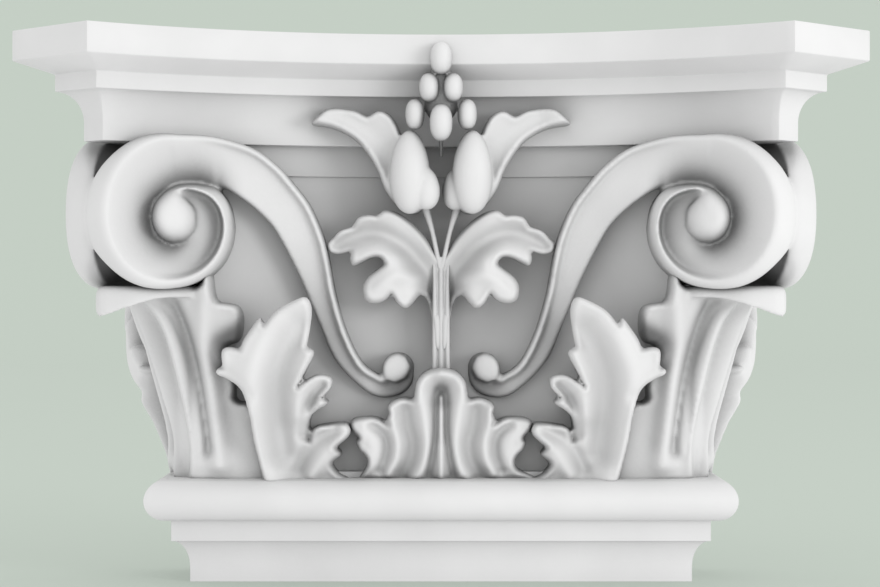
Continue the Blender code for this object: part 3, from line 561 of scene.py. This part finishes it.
# Corner leaves. One big leaf under each horn, folded over the bell's corner, with a broad
# rib on the fold, a deep groove on both its faces, and a thick curled tip that hangs out
# as a ledge under the volutes.
CORNER_LEAF_HEIGHT = 0.578 * CARVED
CORNER_GRAIN = 0.001
RIB_HALF_WIDTH = 0.010
RIB_ROUND = 0.003
RIB_FOOT = (1.1, -0.02)
RIB_FLAT = 0.72
RIB_ROUND_STEPS = 5
RIB_STEP = 5.0
CORNER_SOFTEN = 4
CORNER_LEAF = (
    ((6, -2), (-42, -2), (-37, 17), (-32, 31), (-28.5, 37), (-25, 40), (-21.5, 39.5)),
    ((-18.5, 42), (-19.5, 48), (-18.5, 54), (-15, 60)),
    ((-13, 66), (-16, 69.5), (-20, 70.5), (-22.7, 75), (-23.2, 84), (-21, 89.5), (-16, 91)),
    ((-10.5, 91.5), (-9, 97), (-8, 106)),
    ((-5, 106), (-2, 100), (10, 100), (26, 100)),
    ((35, 98), (20, 82), (12, 55), (6, 20)),
)
CORNER_LEAF_STAND = ((0, 14), (22, 15), (43, 20), (65, 26), (81, 31), (98, 37))
CORNER_LEAF_BACK = ((0, -15), (55, -10), (80, 2), (100, 10))
CORNER_LEAF_VEINS = (
    (-9.0, 3.8, ((-3, 15), (1, 55), (8, 81), (15, 95))),
    (5.0, 6.0, ((-11, 8), (-7, 45), (-5, 70), (-6, 103))),
    (-1.5, 6.0, ((-17, 20), (-13, 55), (-9, 66))),
    (-6.0, 5.5, ((-15, 70), (-24, 75))),
)
CORNER_RIB = ((-2, 10), (0, 10), (23, 12), (55, 16), (70, 21), (81, 28), (88, 34), (98, 49))
HOOD_PLAN = (
    ((0, 67), (6, 64), (17, 54), (24, 38), (27, 28)),
    ((27, 15), (0, 15), (-27, 15)),
    ((-27, 28), (-24, 38), (-17, 54), (-6, 64)),
)
HOOD_TOP = 100
HOOD_THICK = 6
HOOD_LIP = 16
HOOD_LIP_FROM = 38
HOOD_LIP_RUN = 28
HOOD_ROUND = 5.0
HOOD_ROUND_SHARE = 0.7


def at_corner(q, stand, z):
    """A point beside the corner's diagonal plane, standing off the bell's corner."""
    deep = BELL_D * math.sqrt(2) - np.asarray(stand)
    return at_front(HALF - (deep + q) / math.sqrt(2), (deep - q) / math.sqrt(2), z)


def fused(name, parts, grain, soften):
    """Several forms joined and cast as one, with soft joins."""
    deselect()
    for part in parts:
        part.select_set(True)
    bpy.context.view_layer.objects.active = parts[0]
    bpy.ops.object.join()
    whole = parts[0]
    whole.name = name
    apply_modifier(whole, "REMESH", mode="VOXEL", voxel_size=grain)
    apply_modifier(whole, "SMOOTH", factor=SMOOTHING, iterations=soften)
    return whole


unit = CORNER_LEAF_HEIGHT / 100
corner_parts = leaf("corner_leaf", CORNER_LEAF, CORNER_LEAF_HEIGHT,
                    (SHAFT_HALF - BELL_SET_IN, BASE_HEIGHT), CORNER_LEAF_STAND,
                    CORNER_LEAF_BACK, CORNER_LEAF_VEINS,
                    (("corner_front", at_front), ("corner_side", at_side)))
loops = []
for up, stand in through(CORNER_RIB, RIB_STEP):
    out = stand * unit
    ring = [RIB_FOOT]
    for turn in np.linspace(0, math.pi / 2, RIB_ROUND_STEPS):
        ring.append((RIB_FLAT + (1 - RIB_FLAT) * math.cos(turn),
                     out - RIB_ROUND * (1 - math.sin(turn))))
    ring = [(q * RIB_HALF_WIDTH, s) for q, s in ring]
    ring += [(-q, s) for q, s in reversed(ring)]
    loops.append(np.array([at_corner(q, s, BASE_HEIGHT + up * unit) for q, s in ring]))
corner_parts.append(loft("corner_rib", loops))

hood_ring = lobed(HOOD_PLAN, unit)


def hood_upper(points):
    edge = np.clip(gap_to(points, hood_ring, True) / (HOOD_ROUND * unit), 0, 1)
    rounding = HOOD_ROUND_SHARE * HOOD_ROUND * unit
    return HOOD_TOP * unit - rounding * (1 - np.sqrt(1 - (1 - edge) ** 2))


def hood_lower(points):
    lip = np.clip((points[:, 1] / unit - HOOD_LIP_FROM) / HOOD_LIP_RUN, 0, 1)
    return (HOOD_TOP - HOOD_THICK - (HOOD_LIP - HOOD_THICK) * lip ** 2) * unit


corner_parts += carve(blank("hood", hood_ring), PLATE, hood_upper, hood_lower,
                      [("corner_hood", lambda q, z, s: at_corner(q, s, BASE_HEIGHT + z))])
corner = fused("corner_leaf_right", corner_parts, CORNER_GRAIN, CORNER_SOFTEN)
cut_at_wall(corner)
finish_pair(corner, plaster)

# Centre leaf. A short leaf stands in the middle of the front: a rounded arch over a dark
# hollow with a thin spike in it, and two grooved lobes rolled outwards on each side.
CENTRE_LEAF_HEIGHT = 0.314 * CARVED
CENTRE_LEAF = (
    ((0, 106), (13, 103), (22, 95), (25, 85)),
    ((26, 75), (36, 77), (46, 74), (51, 69), (50, 62), (52, 57)),
    ((50.5, 51.5), (59, 57), (70, 58.5), (83, 57), (87.5, 52.5), (86, 46), (80, 40)),
    ((79, 38), (82, 35), (79, 27), (73, 21), (71, 16), (73, 9), (82, -4)),
)
CENTRE_LEAF_STAND = ((0, 22), (8, 27), (50, 32), (106, 42))
CENTRE_LEAF_BACK = ((0, -20), (106, -20))
CENTRE_LEAF_VEINS = (
    (8.0, 7.5, ((0, 101), (12, 98), (19, 88), (18, 70), (15, 50), (13.5, 30), (17, 12), (24, 0))),
    (-3.5, 8.0, ((0, 90), (0, 76))),
    (-6.5, 3.6, ((2.5, 86), (5.2, 74), (5.6, 50), (7.5, 28), (12, 4))),
    (2.5, 3.0, ((0, 78), (0, 40), (0, -2))),
    (2.0, 6.0, ((0, 30), (0, -2))),
    (-7.0, 7.0, ((33, 66), (31, 50), (27, 35), (29, 18), (36, 4))),
    (5.0, 5.0, ((48, 66), (45, 50), (41.5, 34), (43, 18), (50, 4))),
    (-6.0, 4.5, ((66, 51), (57, 44), (52.5, 35), (53, 22), (58, 8))),
    (4.0, 9.0, ((72, 46), (66, 32), (63, 14))),
)


def both_sides(lobes):
    """Half an outline joined to its mirror image, from the middle of the top and round."""
    left = []
    for i in range(len(lobes) - 1, -1, -1):
        after = lobes[i + 1][:1] if i + 1 < len(lobes) else ()
        left.append(tuple((-a, b) for a, b in after + lobes[i][:0:-1]))
    return tuple(lobes) + tuple(left)


veins = [(rise, wide, [(hand * a, b) for a, b in line])
         for rise, wide, line in CENTRE_LEAF_VEINS for hand in (1, -1)]
centre = leaf("centre", both_sides(CENTRE_LEAF), CENTRE_LEAF_HEIGHT, (0.0, BASE_HEIGHT),
              CENTRE_LEAF_STAND, CENTRE_LEAF_BACK, veins, (("centre_leaf", at_front),))[0]
finish_carved(centre, plaster)

# Scrolls. A band springs from a small ball beside the centre leaf, climbs outwards and
# rolls up under the horn into a big volute with a rounded rim, a channel that deepens
# inwards and a round eye. Front and side scrolls back onto each other at the corner.
SCROLL_SIZE = 0.78 * CARVED
SCROLL_EYE_X = 0.648 * HALF
SCROLL_EYE_Z = BASE_HEIGHT + 0.775 * CARVED
SCROLL_R = FASCIA_R + 0.018
SCROLL_GRAIN = 0.00082
SCROLL_SOFTEN = 2
# Depth of the rim behind the horns at each distance from the middle, in millimetres
SCROLL_SWEEP = ((0, 75), (17, 74.5), (40, 71), (62, 65), (85, 56), (105, 45), (126, 34.2),
                (150, 25.2), (165, 23.6), (180, 23.6))
EDGE_THICK = 0.0150
BELL_BITE = 0.003
RIM_CREST = 0.0021
FLANK_DROP = 0.0115
FLANK_CURVE = 1.8
CHANNEL_DEEP = 0.0210
RECESS_DEEP = 0.0110
BAND_GROOVE = 0.0034
BAND_LEAN = 0.0075
BAND_RIM = 0.0030
DOME_CUT = 0.985
DOME_CURVE = 3.2
BOWL_CURVE = 1.2
RIM_SHARE = 0.6
BAND_CURVE = 1.3
# Radius of the spiral outline and of the rim's crest at hundredths of a turn, and the
# band's two edges, measured from the eye in hundredths of the scroll's size
VOLUTE_EDGE = ((-12.5, 31.5), (0, 31.8), (12, 34.7), (18, 37.6), (23, 38.8), (29, 37.5),
               (34.5, 32.9), (42, 29), (50, 26.2), (62, 25.4), (75, 22.9), (80, 21.9),
               (84, 20.5), (89, 17.2), (94, 14.6), (100, 12.6), (108, 10.9), (116, 10.3),
               (125, 9.9), (150, 9.0))
VOLUTE_CREST = ((-12.5, 30), (0, 29.8), (12, 28.6), (25, 27.2), (38, 25.2), (50, 23.6),
                (62, 22.6), (75, 20.2), (82, 17.8), (90, 13.4), (100, 10.2))
VOLUTE_EYE = 8.8
# Shares of a turn where the spiral changes: its ends, its recess, its roll, its outer side
VOLUTE_ENDS = 0.85
VOLUTE_POINTS = 140
INNER_TURNS = (0.86, 1.3)
INNER_POINTS = 60
LATE_FROM = 0.42
LATE_RUN = 0.25
BAND_SIDE = 0.75
ROLL_MERGES = 0.88
OUTER_FROM = 0.06
OUTER_LEAVES = 0.1
RECESS_WALL = 0.22
# Where the band takes over from the volute, in the same hundredths from the eye
BAND_REACH = 33.5
BAND_BELOW = -33
BAND_FULL_BELOW = -34
BAND_STARTS = 6
BAND_EASED = 22
EDGE_EASED = 13
SCROLL_UPPER = ((0, 31.5), (-11, 31.5), (-20, 30.4), (-32, 26.8), (-41, 20.5), (-47, 14),
                (-53.5, 5.5), (-58.5, -6), (-61, -16), (-63.3, -28.5), (-67.6, -43),
                (-73.8, -55), (-81.2, -60.3))
SCROLL_LOWER = ((-93.8, -56), (-93, -63), (-88.5, -67.5), (-81, -68.7), (-74, -65.5),
                (-63, -54.2), (-56.2, -39), (-48.6, -21), (-41.4, -7.2), (-36.8, -0.6),
                (-29.4, 6), (-22, 10.6), (-17.2, 12.6))
BALL_CENTRE = np.array((-87.6, -57.3))
BALL_R = 6.2
BALL_INSET = np.array((1.3, 0.6))
BALL_RAISED_R = 5.8
BALL_RISE = 0.003
BALL_SPREAD = 14
BALL_EASED = 8
BALL_POINTS = 18
VOLUTE_SOFT = 0.6
ROUND_SHARE = 0.8


def spiral(first, last, count):
    turns = np.linspace(first, last, count)
    radii = at_table(turns * 100, VOLUTE_EDGE)
    return np.stack([radii * np.sin(2 * math.pi * turns), radii * np.cos(2 * math.pi * turns)],
                    axis=1)


unit = SCROLL_SIZE / 100
upper_edge = through(SCROLL_UPPER, 1.0)
lower_edge = through(SCROLL_LOWER, 1.0)
ball_end = math.atan2(*(upper_edge[-1] - BALL_CENTRE)[::-1])
ball_arc = [BALL_CENTRE + BALL_R * np.array((math.cos(a), math.sin(a)))
            for a in np.linspace(math.pi, ball_end, BALL_POINTS)[1:-1]]
scroll_ring = np.concatenate([spiral(0, VOLUTE_ENDS, VOLUTE_POINTS), lower_edge[::-1], ball_arc,
                              upper_edge[::-1][:-1]]) * unit
inner_line = np.concatenate([lower_edge, spiral(*INNER_TURNS, INNER_POINTS)])


def dome(share):
    """Fall of a full rounded form, from 0 at its crown to its edge, which is cut off steep."""
    return 1 - np.sqrt(1 - (DOME_CUT * np.clip(share, 0, 1)) ** DOME_CURVE)


def around_eye(points):
    """Distance from the eye, share of a turn, and the outline's radius at that turn."""
    spot = points / unit
    turn = (np.arctan2(spot[:, 0], spot[:, 1]) / (2 * math.pi)) % 1.0
    return spot, np.hypot(spot[:, 0], spot[:, 1]), turn, at_table(turn * 100, VOLUTE_EDGE)


def scroll_face(points):
    """Depth behind the rim's crest: its rounded flank, the channel, the roll and its eye."""
    spot, reach, turn, edge = around_eye(points)
    crest = at_table(turn * 100, VOLUTE_CREST)
    inner = np.where(turn <= 0.5, at_table(turn * 100 + 100, VOLUTE_EDGE), VOLUTE_EYE)
    band = (turn > BAND_SIDE) & (reach > edge) | (spot[:, 1] < BAND_BELOW)
    band |= (spot[:, 0] < 0) & (reach > BAND_REACH)
    along_band = (-spot[:, 0] - BAND_STARTS) / BAND_EASED
    to_band = eased(np.clip(along_band, 0, 1) + (spot[:, 1] < BAND_FULL_BELOW))
    late = eased((turn - LATE_FROM) / LATE_RUN)
    depth = CHANNEL_DEEP + (RECESS_DEEP - CHANNEL_DEEP) * late

    inward = np.clip((crest - reach) / np.maximum(crest - inner, 1), 0, 1)
    bowl = inward ** BOWL_CURVE
    channel = depth * (bowl * (1 - late) + eased(inward / RECESS_WALL) * late)
    beside_roll = CHANNEL_DEEP * (1 - eased(along_band))
    flank_drop = np.minimum((edge - crest) * unit, FLANK_DROP)
    flank_drop = np.where(turn > BAND_SIDE, np.maximum(flank_drop, beside_roll), flank_drop)
    flank = np.clip((reach - crest) / np.maximum(edge - crest, 0.5), 0, 1)
    deep = channel + flank_drop * flank ** FLANK_CURVE

    from_upper = gap_to(spot, upper_edge) * unit
    across_band = from_upper + gap_to(spot, inner_line) * unit
    fall = np.clip((from_upper - RIM_CREST) / np.maximum(across_band - RIM_CREST, 0.001), 0, 1)
    over_rim = eased(from_upper / BAND_RIM - RIM_SHARE)
    flat = np.clip((across_band - from_upper) / np.maximum(across_band - BAND_RIM, 0.001), 0, 1)
    trough = over_rim * (BAND_GROOVE * flat + BAND_LEAN * fall)
    start = CHANNEL_DEEP * fall ** BAND_CURVE
    deep = np.where(band, start * (1 - to_band) + trough * to_band, deep)

    roll = (turn <= 0.5) & (reach <= inner)
    deep = np.where((reach < VOLUTE_EYE) & ~roll, depth * dome(reach / VOLUTE_EYE), deep)
    rolled_in = np.where(turn <= 0.5, depth * dome(reach / inner), beside_roll * dome(reach / edge))
    last_turn = eased((turn - ROLL_MERGES) / (1 - ROLL_MERGES))
    merge = np.where(band, 0.0, np.where(turn > 0.5, last_turn, 1.0 * roll))
    deep = deep * (1 - merge) + rolled_in * merge

    from_ball = np.linalg.norm(spot - BALL_CENTRE - BALL_INSET, axis=1)
    deep = deep + BALL_RISE * eased((BALL_SPREAD - from_ball) / BALL_EASED)
    deep = np.where(from_ball < BALL_RAISED_R, BALL_RISE * dome(from_ball / BALL_RAISED_R), deep)
    soft = np.where(band, 1.0, VOLUTE_SOFT) * RIM_CREST
    rounded = np.clip(gap_to(points, scroll_ring, True) / soft, 0, 1)
    return deep + ROUND_SHARE * soft * (1 - np.sqrt(1 - (1 - rounded) ** 2))


def across_front(u):
    """Distance from the middle of the front of a point at u along the hollow."""
    return SCROLL_R * np.sin((SCROLL_EYE_X + u) / SCROLL_R)


def scroll_depth(x):
    """Depth of the rim behind the horns at x."""
    return at_table(x * 1000, SCROLL_SWEEP) / 1000


def scroll_back(points):
    """Back of the scroll: let into the bell, but free of it round the volute's outer side."""
    _, reach, turn, edge = around_eye(points)
    x = across_front(points[:, 0])
    into_bell = np.sqrt((FASCIA_R + BELL_TOP_IN) ** 2 - x * x) - AXIS_OUT + BELL_BITE
    full = np.maximum(into_bell - scroll_depth(x), EDGE_THICK)
    outer = eased(turn / OUTER_FROM) * (1 - eased((turn - LATE_FROM) / OUTER_LEAVES))
    inside = 1 - outer * (1 - eased((edge - reach) / EDGE_EASED))
    return EDGE_THICK + (full - EDGE_THICK) * inside


def rolled(place):
    """Plate laid on the hollow surface below the abacus, and carved straight in."""
    def lay(u, deep, v):
        x = across_front(u)
        return place(x, scroll_depth(x) + deep, SCROLL_EYE_Z + v)
    return lay


scroll_parts = carve(blank("scroll", scroll_ring, SCROLL_GRAIN), PLATE, scroll_face, scroll_back,
                     (("front", rolled(at_front)), ("side", rolled(at_side))))
scroll = fused("scrolls_right", scroll_parts, SCROLL_GRAIN, SCROLL_SOFTEN)
cut_at_wall(scroll)
finish_pair(scroll, plaster)

# Stem. Three thin strands rise side by side from behind the centre leaf, and part at the
# fork into two stalks that carry the flowers.
STEM_LOW = BASE_HEIGHT + 0.30 * CARVED
STEM_FORK = BASE_HEIGHT + 0.665 * CARVED
STEM_TOP = BASE_HEIGHT + 0.83 * CARVED
STRAND_R = 0.00125
STRAND_APART = 0.0031
STALK_R = 0.00125
STALK_FLARE = 1.8
WEB_R = 0.0045
WEB_BACK = 0.0041
STEM_STAND = 0.009
STEM_D = BELL_D - STEM_STAND
STRAND_BEND = 0.012
# How far the side strands move out, back and up at the fork
STRAND_PART = (0.0012, 0.001, 0.004)
# Path of a stalk: across, forward of the strands, and up from the fork
STALK_PATH = ((0.0006, 0.0, -0.005), (0.0042, 0.002, 0.012), (0.0084, 0.006, STEM_TOP - STEM_FORK))
STEM_GRAIN = 0.0004
ROD_SIDES = 20
ROD_STEP = 0.004


def rod(name, path, radii, squash=1.0):
    """Round bar along a smooth path, tapering from end to end."""
    spots = through(path, ROD_STEP)
    lengths = np.linspace(0, 1, len(spots))
    thick = np.interp(lengths, np.linspace(0, 1, len(radii)), radii)
    loops = []
    for i, spot in enumerate(spots):
        ahead = spots[min(i + 1, len(spots) - 1)] - spots[max(i - 1, 0)]
        ahead /= np.linalg.norm(ahead)
        across = np.cross(ahead, (0.0, -1.0, 0.0))
        across /= np.linalg.norm(across)
        out = np.cross(across, ahead)
        turns = 2 * math.pi * np.arange(ROD_SIDES) / ROD_SIDES
        ring = np.outer(np.cos(turns), across) + squash * np.outer(np.sin(turns), out)
        loops.append(at_front(*spot) + thick[i] * ring)
    return loft(name, loops)


parts = []
for hand in (-1, 0, 1):
    x = hand * STRAND_APART
    out, back, up = (abs(hand) * move for move in STRAND_PART)
    top = (x + hand * out, STEM_D + back, STEM_FORK + up)
    parts.append(rod("strand", [(x, STEM_D, STEM_LOW), (x, STEM_D, STEM_FORK - STRAND_BEND), top],
                     [STRAND_R, STRAND_R, STRAND_R * (1 - 0.5 * abs(hand))]))
for hand in (-1, 1):
    parts.append(rod("stalk", [(hand * out, STEM_D - forward, STEM_FORK + up)
                               for out, forward, up in STALK_PATH],
                     [STALK_R, STALK_R, STALK_FLARE * STALK_R]))
web_d = STEM_D + WEB_BACK
parts.append(rod("web", [(0, web_d, STEM_LOW), (0, web_d, STEM_FORK)], [WEB_R, WEB_R]))
stem = fused("stem", parts, STEM_GRAIN, soften=1)
finish_carved(stem, plaster)

# Upper leaves. Two broad leaves spring from the stem and bend outwards and down, with a
# curved valley under the light upper edge and bulging round lobes below.
UPPER_LEAF_SIZE = 0.296 * CARVED
UPPER_LEAF_FOOT_Z = BASE_HEIGHT + 0.51 * CARVED
UPPER_LEAF = (
    ((-2, 48), (6, 58), (15, 72), (28, 86), (40, 95), (50, 99), (58, 99)),
    ((65, 94), (74, 95), (84, 92)),
    ((90, 83), (102, 79), (111, 71), (116, 65), (113, 57), (103, 55)),
    ((91, 58), (92, 50), (89, 43), (81, 46), (70, 51), (61, 51)),
    ((57, 45), (64, 40), (74, 32), (79, 22), (77, 9), (68, 5), (57, 8)),
    ((50, 15), (44, 5), (36, 0), (29, 5)),
    ((22, 14), (16, 11), (12, 0), (9, -16), (7, -40), (-2, -40)),
)
UPPER_LEAF_STAND = ((-2, 19), (0, 20), (12, 26), (45, 46), (75, 44), (116, 36))
UPPER_LEAF_BACK = ((-2, -9), (0, -8), (30, 12), (60, 22), (116, 20))
UPPER_LEAF_VEINS = (
    (-14.0, 11.0, ((8, 8), (19, 40), (34, 60), (58, 75), (82, 75), (104, 64))),
    (8.0, 10.0, ((24, 32), (48, 32), (70, 15))),
    (4.0, 9.0, ((22, 26), (34, 8))),
    (5.0, 10.0, ((44, 50), (66, 58), (86, 50))),
)

upper = leaf("upper_leaf", UPPER_LEAF, UPPER_LEAF_SIZE, (0.0, UPPER_LEAF_FOOT_Z),
             UPPER_LEAF_STAND, UPPER_LEAF_BACK, UPPER_LEAF_VEINS,
             (("upper_leaf_right", at_front),), across=True)[0]
finish_pair(upper, plaster)

# Flowers. On each side of the stem one smooth petal flares out over the bell's band and
# the abacus, beside a big egg-shaped bud and a smaller one that has grown against it.
FLOWER_SIZE = 0.299 * CARVED
FLOWER_FOOT_Z = BASE_HEIGHT + 0.815 * CARVED
FLOWER_PETAL = (
    ((16, 0), (22, -5), (30, -7), (39, -3), (48, 5), (57, 19), (64, 37), (75, 55), (87, 68),
     (107, 78.5)),
    ((131, 82.5), (123, 91), (113, 98), (98, 98.5), (85, 96)),
    ((74, 90), (62, 96), (52, 92), (45, 84), (39, 70), (28, 40), (18, 4)),
)
FLOWER_PETAL_STAND = ((-12, 41), (0, 46), (60, 50), (100, 52))
FLOWER_PETAL_BACK = ((-12, -6), (100, -6))
FLOWER_PETAL_VEINS = (
    (-8.0, 16.0, ((50, 40), (64, 66), (96, 88))),
)
EGG_SIDES = 40
EGG_RINGS = 24
BUD_LOW_FULL = 0.12
FLOWER_GRAIN = 0.0008
FLOWER_SOFTEN = 6
# Buds: across, up, half width, half height and stand off the bell. The small one stands in
# front of the big one on the left, and behind it on the right
BIG_BUD = (31, 34, 20, 42, 50)
SMALL_BUDS = {"flower_left": (14.5, 17, 13.5, 21, 54), "flower_right": (14.5, 17, 13.5, 21, 42)}


def egg(name, centre, half, low_full=0.0, square=2.0):
    """Egg shape, fuller below its middle by a share, and squarer with a power over 2."""
    deselect()
    bpy.ops.mesh.primitive_uv_sphere_add(segments=EGG_SIDES, ring_count=EGG_RINGS, radius=1.0)
    piece = bpy.context.object
    piece.name = name
    points = points_of(piece)
    points /= (np.abs(points) ** square).sum(axis=1, keepdims=True) ** (1 / square)
    points[:, :2] *= (1 - low_full * points[:, 2:])
    put_points(piece, points * half + centre)
    return piece


unit = FLOWER_SIZE / 100
for name, small_bud in SMALL_BUDS.items():
    parts = leaf("petal", FLOWER_PETAL, FLOWER_SIZE, (0.0, FLOWER_FOOT_Z), FLOWER_PETAL_STAND,
                 FLOWER_PETAL_BACK, FLOWER_PETAL_VEINS, (("petal", at_front),))
    for across, up, wide, high, stand in (BIG_BUD, small_bud):
        centre_at = at_front(across * unit, BELL_D - stand * unit, FLOWER_FOOT_Z + up * unit)
        parts.append(egg("bud", centre_at, np.array((wide, wide, high)) * unit,
                         BUD_LOW_FULL))
    flower = fused(name, parts, FLOWER_GRAIN, FLOWER_SOFTEN)
    if name == "flower_left":
        put_points(flower, points_of(flower) * (-1, 1, 1))
        face_out(flower)
    finish_carved(flower, plaster)

# Berries. Six egg-shaped berries are piled over the flowers, up to the fascia, against a
# tapering core that grows out of the bell and the abacus.
# Berries: across, up, half width, half height and stand; core: up, radius and stand
BERRIES = ((0, 146, 11, 16, 60), (12, 117.5, 9.8, 14.2, 56), (26, 91.3, 9.6, 15.2, 50),
           (0, 82.8, 11.4, 18.4, 58))
CORE = ((50, 1.6, 25), (66, 2.4, 27), (78, 8, 30), (90, 17, 35), (105, 16, 37), (122, 11, 43),
        (147, 6, 52))
BERRY_DEEPER = 1.7
BERRY_SQUARE = 2.3
BERRY_GRAIN = 0.0006

parts = [rod("core", [(0, BELL_D - stand * unit, FLOWER_FOOT_Z + up * unit)
                      for up, _, stand in CORE], [radius * unit for _, radius, _ in CORE])]
for across, up, wide, high, stand in BERRIES:
    for hand in ((1,) if across == 0 else (1, -1)):
        centre_at = at_front(hand * across * unit, BELL_D - stand * unit,
                             FLOWER_FOOT_Z + up * unit)
        parts.append(egg("berry", centre_at, np.array((wide, wide * BERRY_DEEPER, high)) * unit,
                         square=BERRY_SQUARE))
berries = fused("berries", parts, BERRY_GRAIN, soften=1)
finish_carved(berries, plaster)

# Floor. A pale green studio sweep that curves up into a wall all round, not part of the
# object. Its green isn't thrown back onto the white casting.
FLOOR_R = 3.4
SWEEP_R = 1.2
WALL_UP = 2.2
SWEEP_STEPS = 16
FLOOR_SIDES = 96
PAPER = (0.525, 0.59, 0.525, 1.0)

deselect()
bpy.ops.mesh.primitive_circle_add(vertices=FLOOR_SIDES, radius=FLOOR_R, fill_type="NGON")
floor = bpy.context.object
floor.name = "floor"
bpy.ops.object.mode_set(mode="EDIT")
bpy.ops.mesh.select_all(action="SELECT")
bpy.ops.mesh.inset(thickness=FLOOR_R - SWEEP_R)
bpy.ops.mesh.select_all(action="DESELECT")
bpy.ops.mesh.select_mode(type="EDGE")
shape = bmesh.from_edit_mesh(floor.data)
for edge in shape.edges:
    edge.select_set(edge.is_boundary)
bmesh.update_edit_mesh(floor.data)
reach = FLOOR_R
rise = 0.0
for i in range(1, SWEEP_STEPS + 2):
    turn = math.pi / 2 * min(i / SWEEP_STEPS, 1.0)
    new_reach = FLOOR_R + SWEEP_R * math.sin(turn)
    new_rise = SWEEP_R * (1 - math.cos(turn)) + (WALL_UP if i > SWEEP_STEPS else 0.0)
    bpy.ops.mesh.extrude_region_move(TRANSFORM_OT_translate={"value": (0, 0, new_rise - rise)})
    bpy.ops.transform.resize(value=(new_reach / reach, new_reach / reach, 1),
                             center_override=(0, 0, new_rise))
    reach, rise = new_reach, new_rise
bpy.ops.mesh.select_mode(type="VERT")
bpy.ops.object.mode_set(mode="OBJECT")
bpy.ops.object.shade_smooth()
paper = bpy.data.materials.new("pale_sweep")
paper.use_nodes = True
paper_nodes = paper.node_tree.nodes
paper_nodes["Principled BSDF"].inputs["Roughness"].default_value = 0.9
paper_nodes["Principled BSDF"].inputs["Base Color"].default_value = PAPER
floor.data.materials.append(paper)
floor.visible_diffuse = False
floor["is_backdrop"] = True

# Light: one soft key lamp low on the right, and a wide even sky that fills from all round.
KEY_AT = (2.0, -1.7, 0.30)
KEY_SIZE = 1.0
KEY_POWER = 24.0
SKY = 1.02
TARGET = np.array((0.0, 0.0, 0.13))


def soft_lamp(name, at, size, power):
    deselect()
    bpy.ops.object.light_add(type="AREA", location=at)
    lamp = bpy.context.object
    lamp.name = name
    lamp.data.size = size
    lamp.data.energy = power
    aim = np.array(at) - TARGET
    lamp.rotation_euler = (math.acos(aim[2] / np.linalg.norm(aim)), 0.0,
                           math.atan2(aim[1], aim[0]) + math.pi / 2)
    return lamp


soft_lamp("key", KEY_AT, KEY_SIZE, KEY_POWER)
world = bpy.data.worlds.new("studio")
world.use_nodes = True
world.node_tree.nodes["Background"].inputs["Color"].default_value = (1.0, 1.0, 1.0, 1.0)
world.node_tree.nodes["Background"].inputs["Strength"].default_value = SKY
bpy.context.scene.world = world

# Camera: level with the middle of the capital, straight on, at the photograph's distance.
CAMERA_AT = (-0.0005, -1.141, 0.1389)
LENS = 94.4
SENSOR = 36.0
bpy.ops.object.camera_add(location=CAMERA_AT, rotation=(math.pi / 2, 0.0, 0.0))
camera = bpy.context.object
camera.data.lens = LENS
camera.data.sensor_width = SENSOR
bpy.context.scene.camera = camera
bpy.context.scene.view_settings.view_transform = "Standard"

low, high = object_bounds()
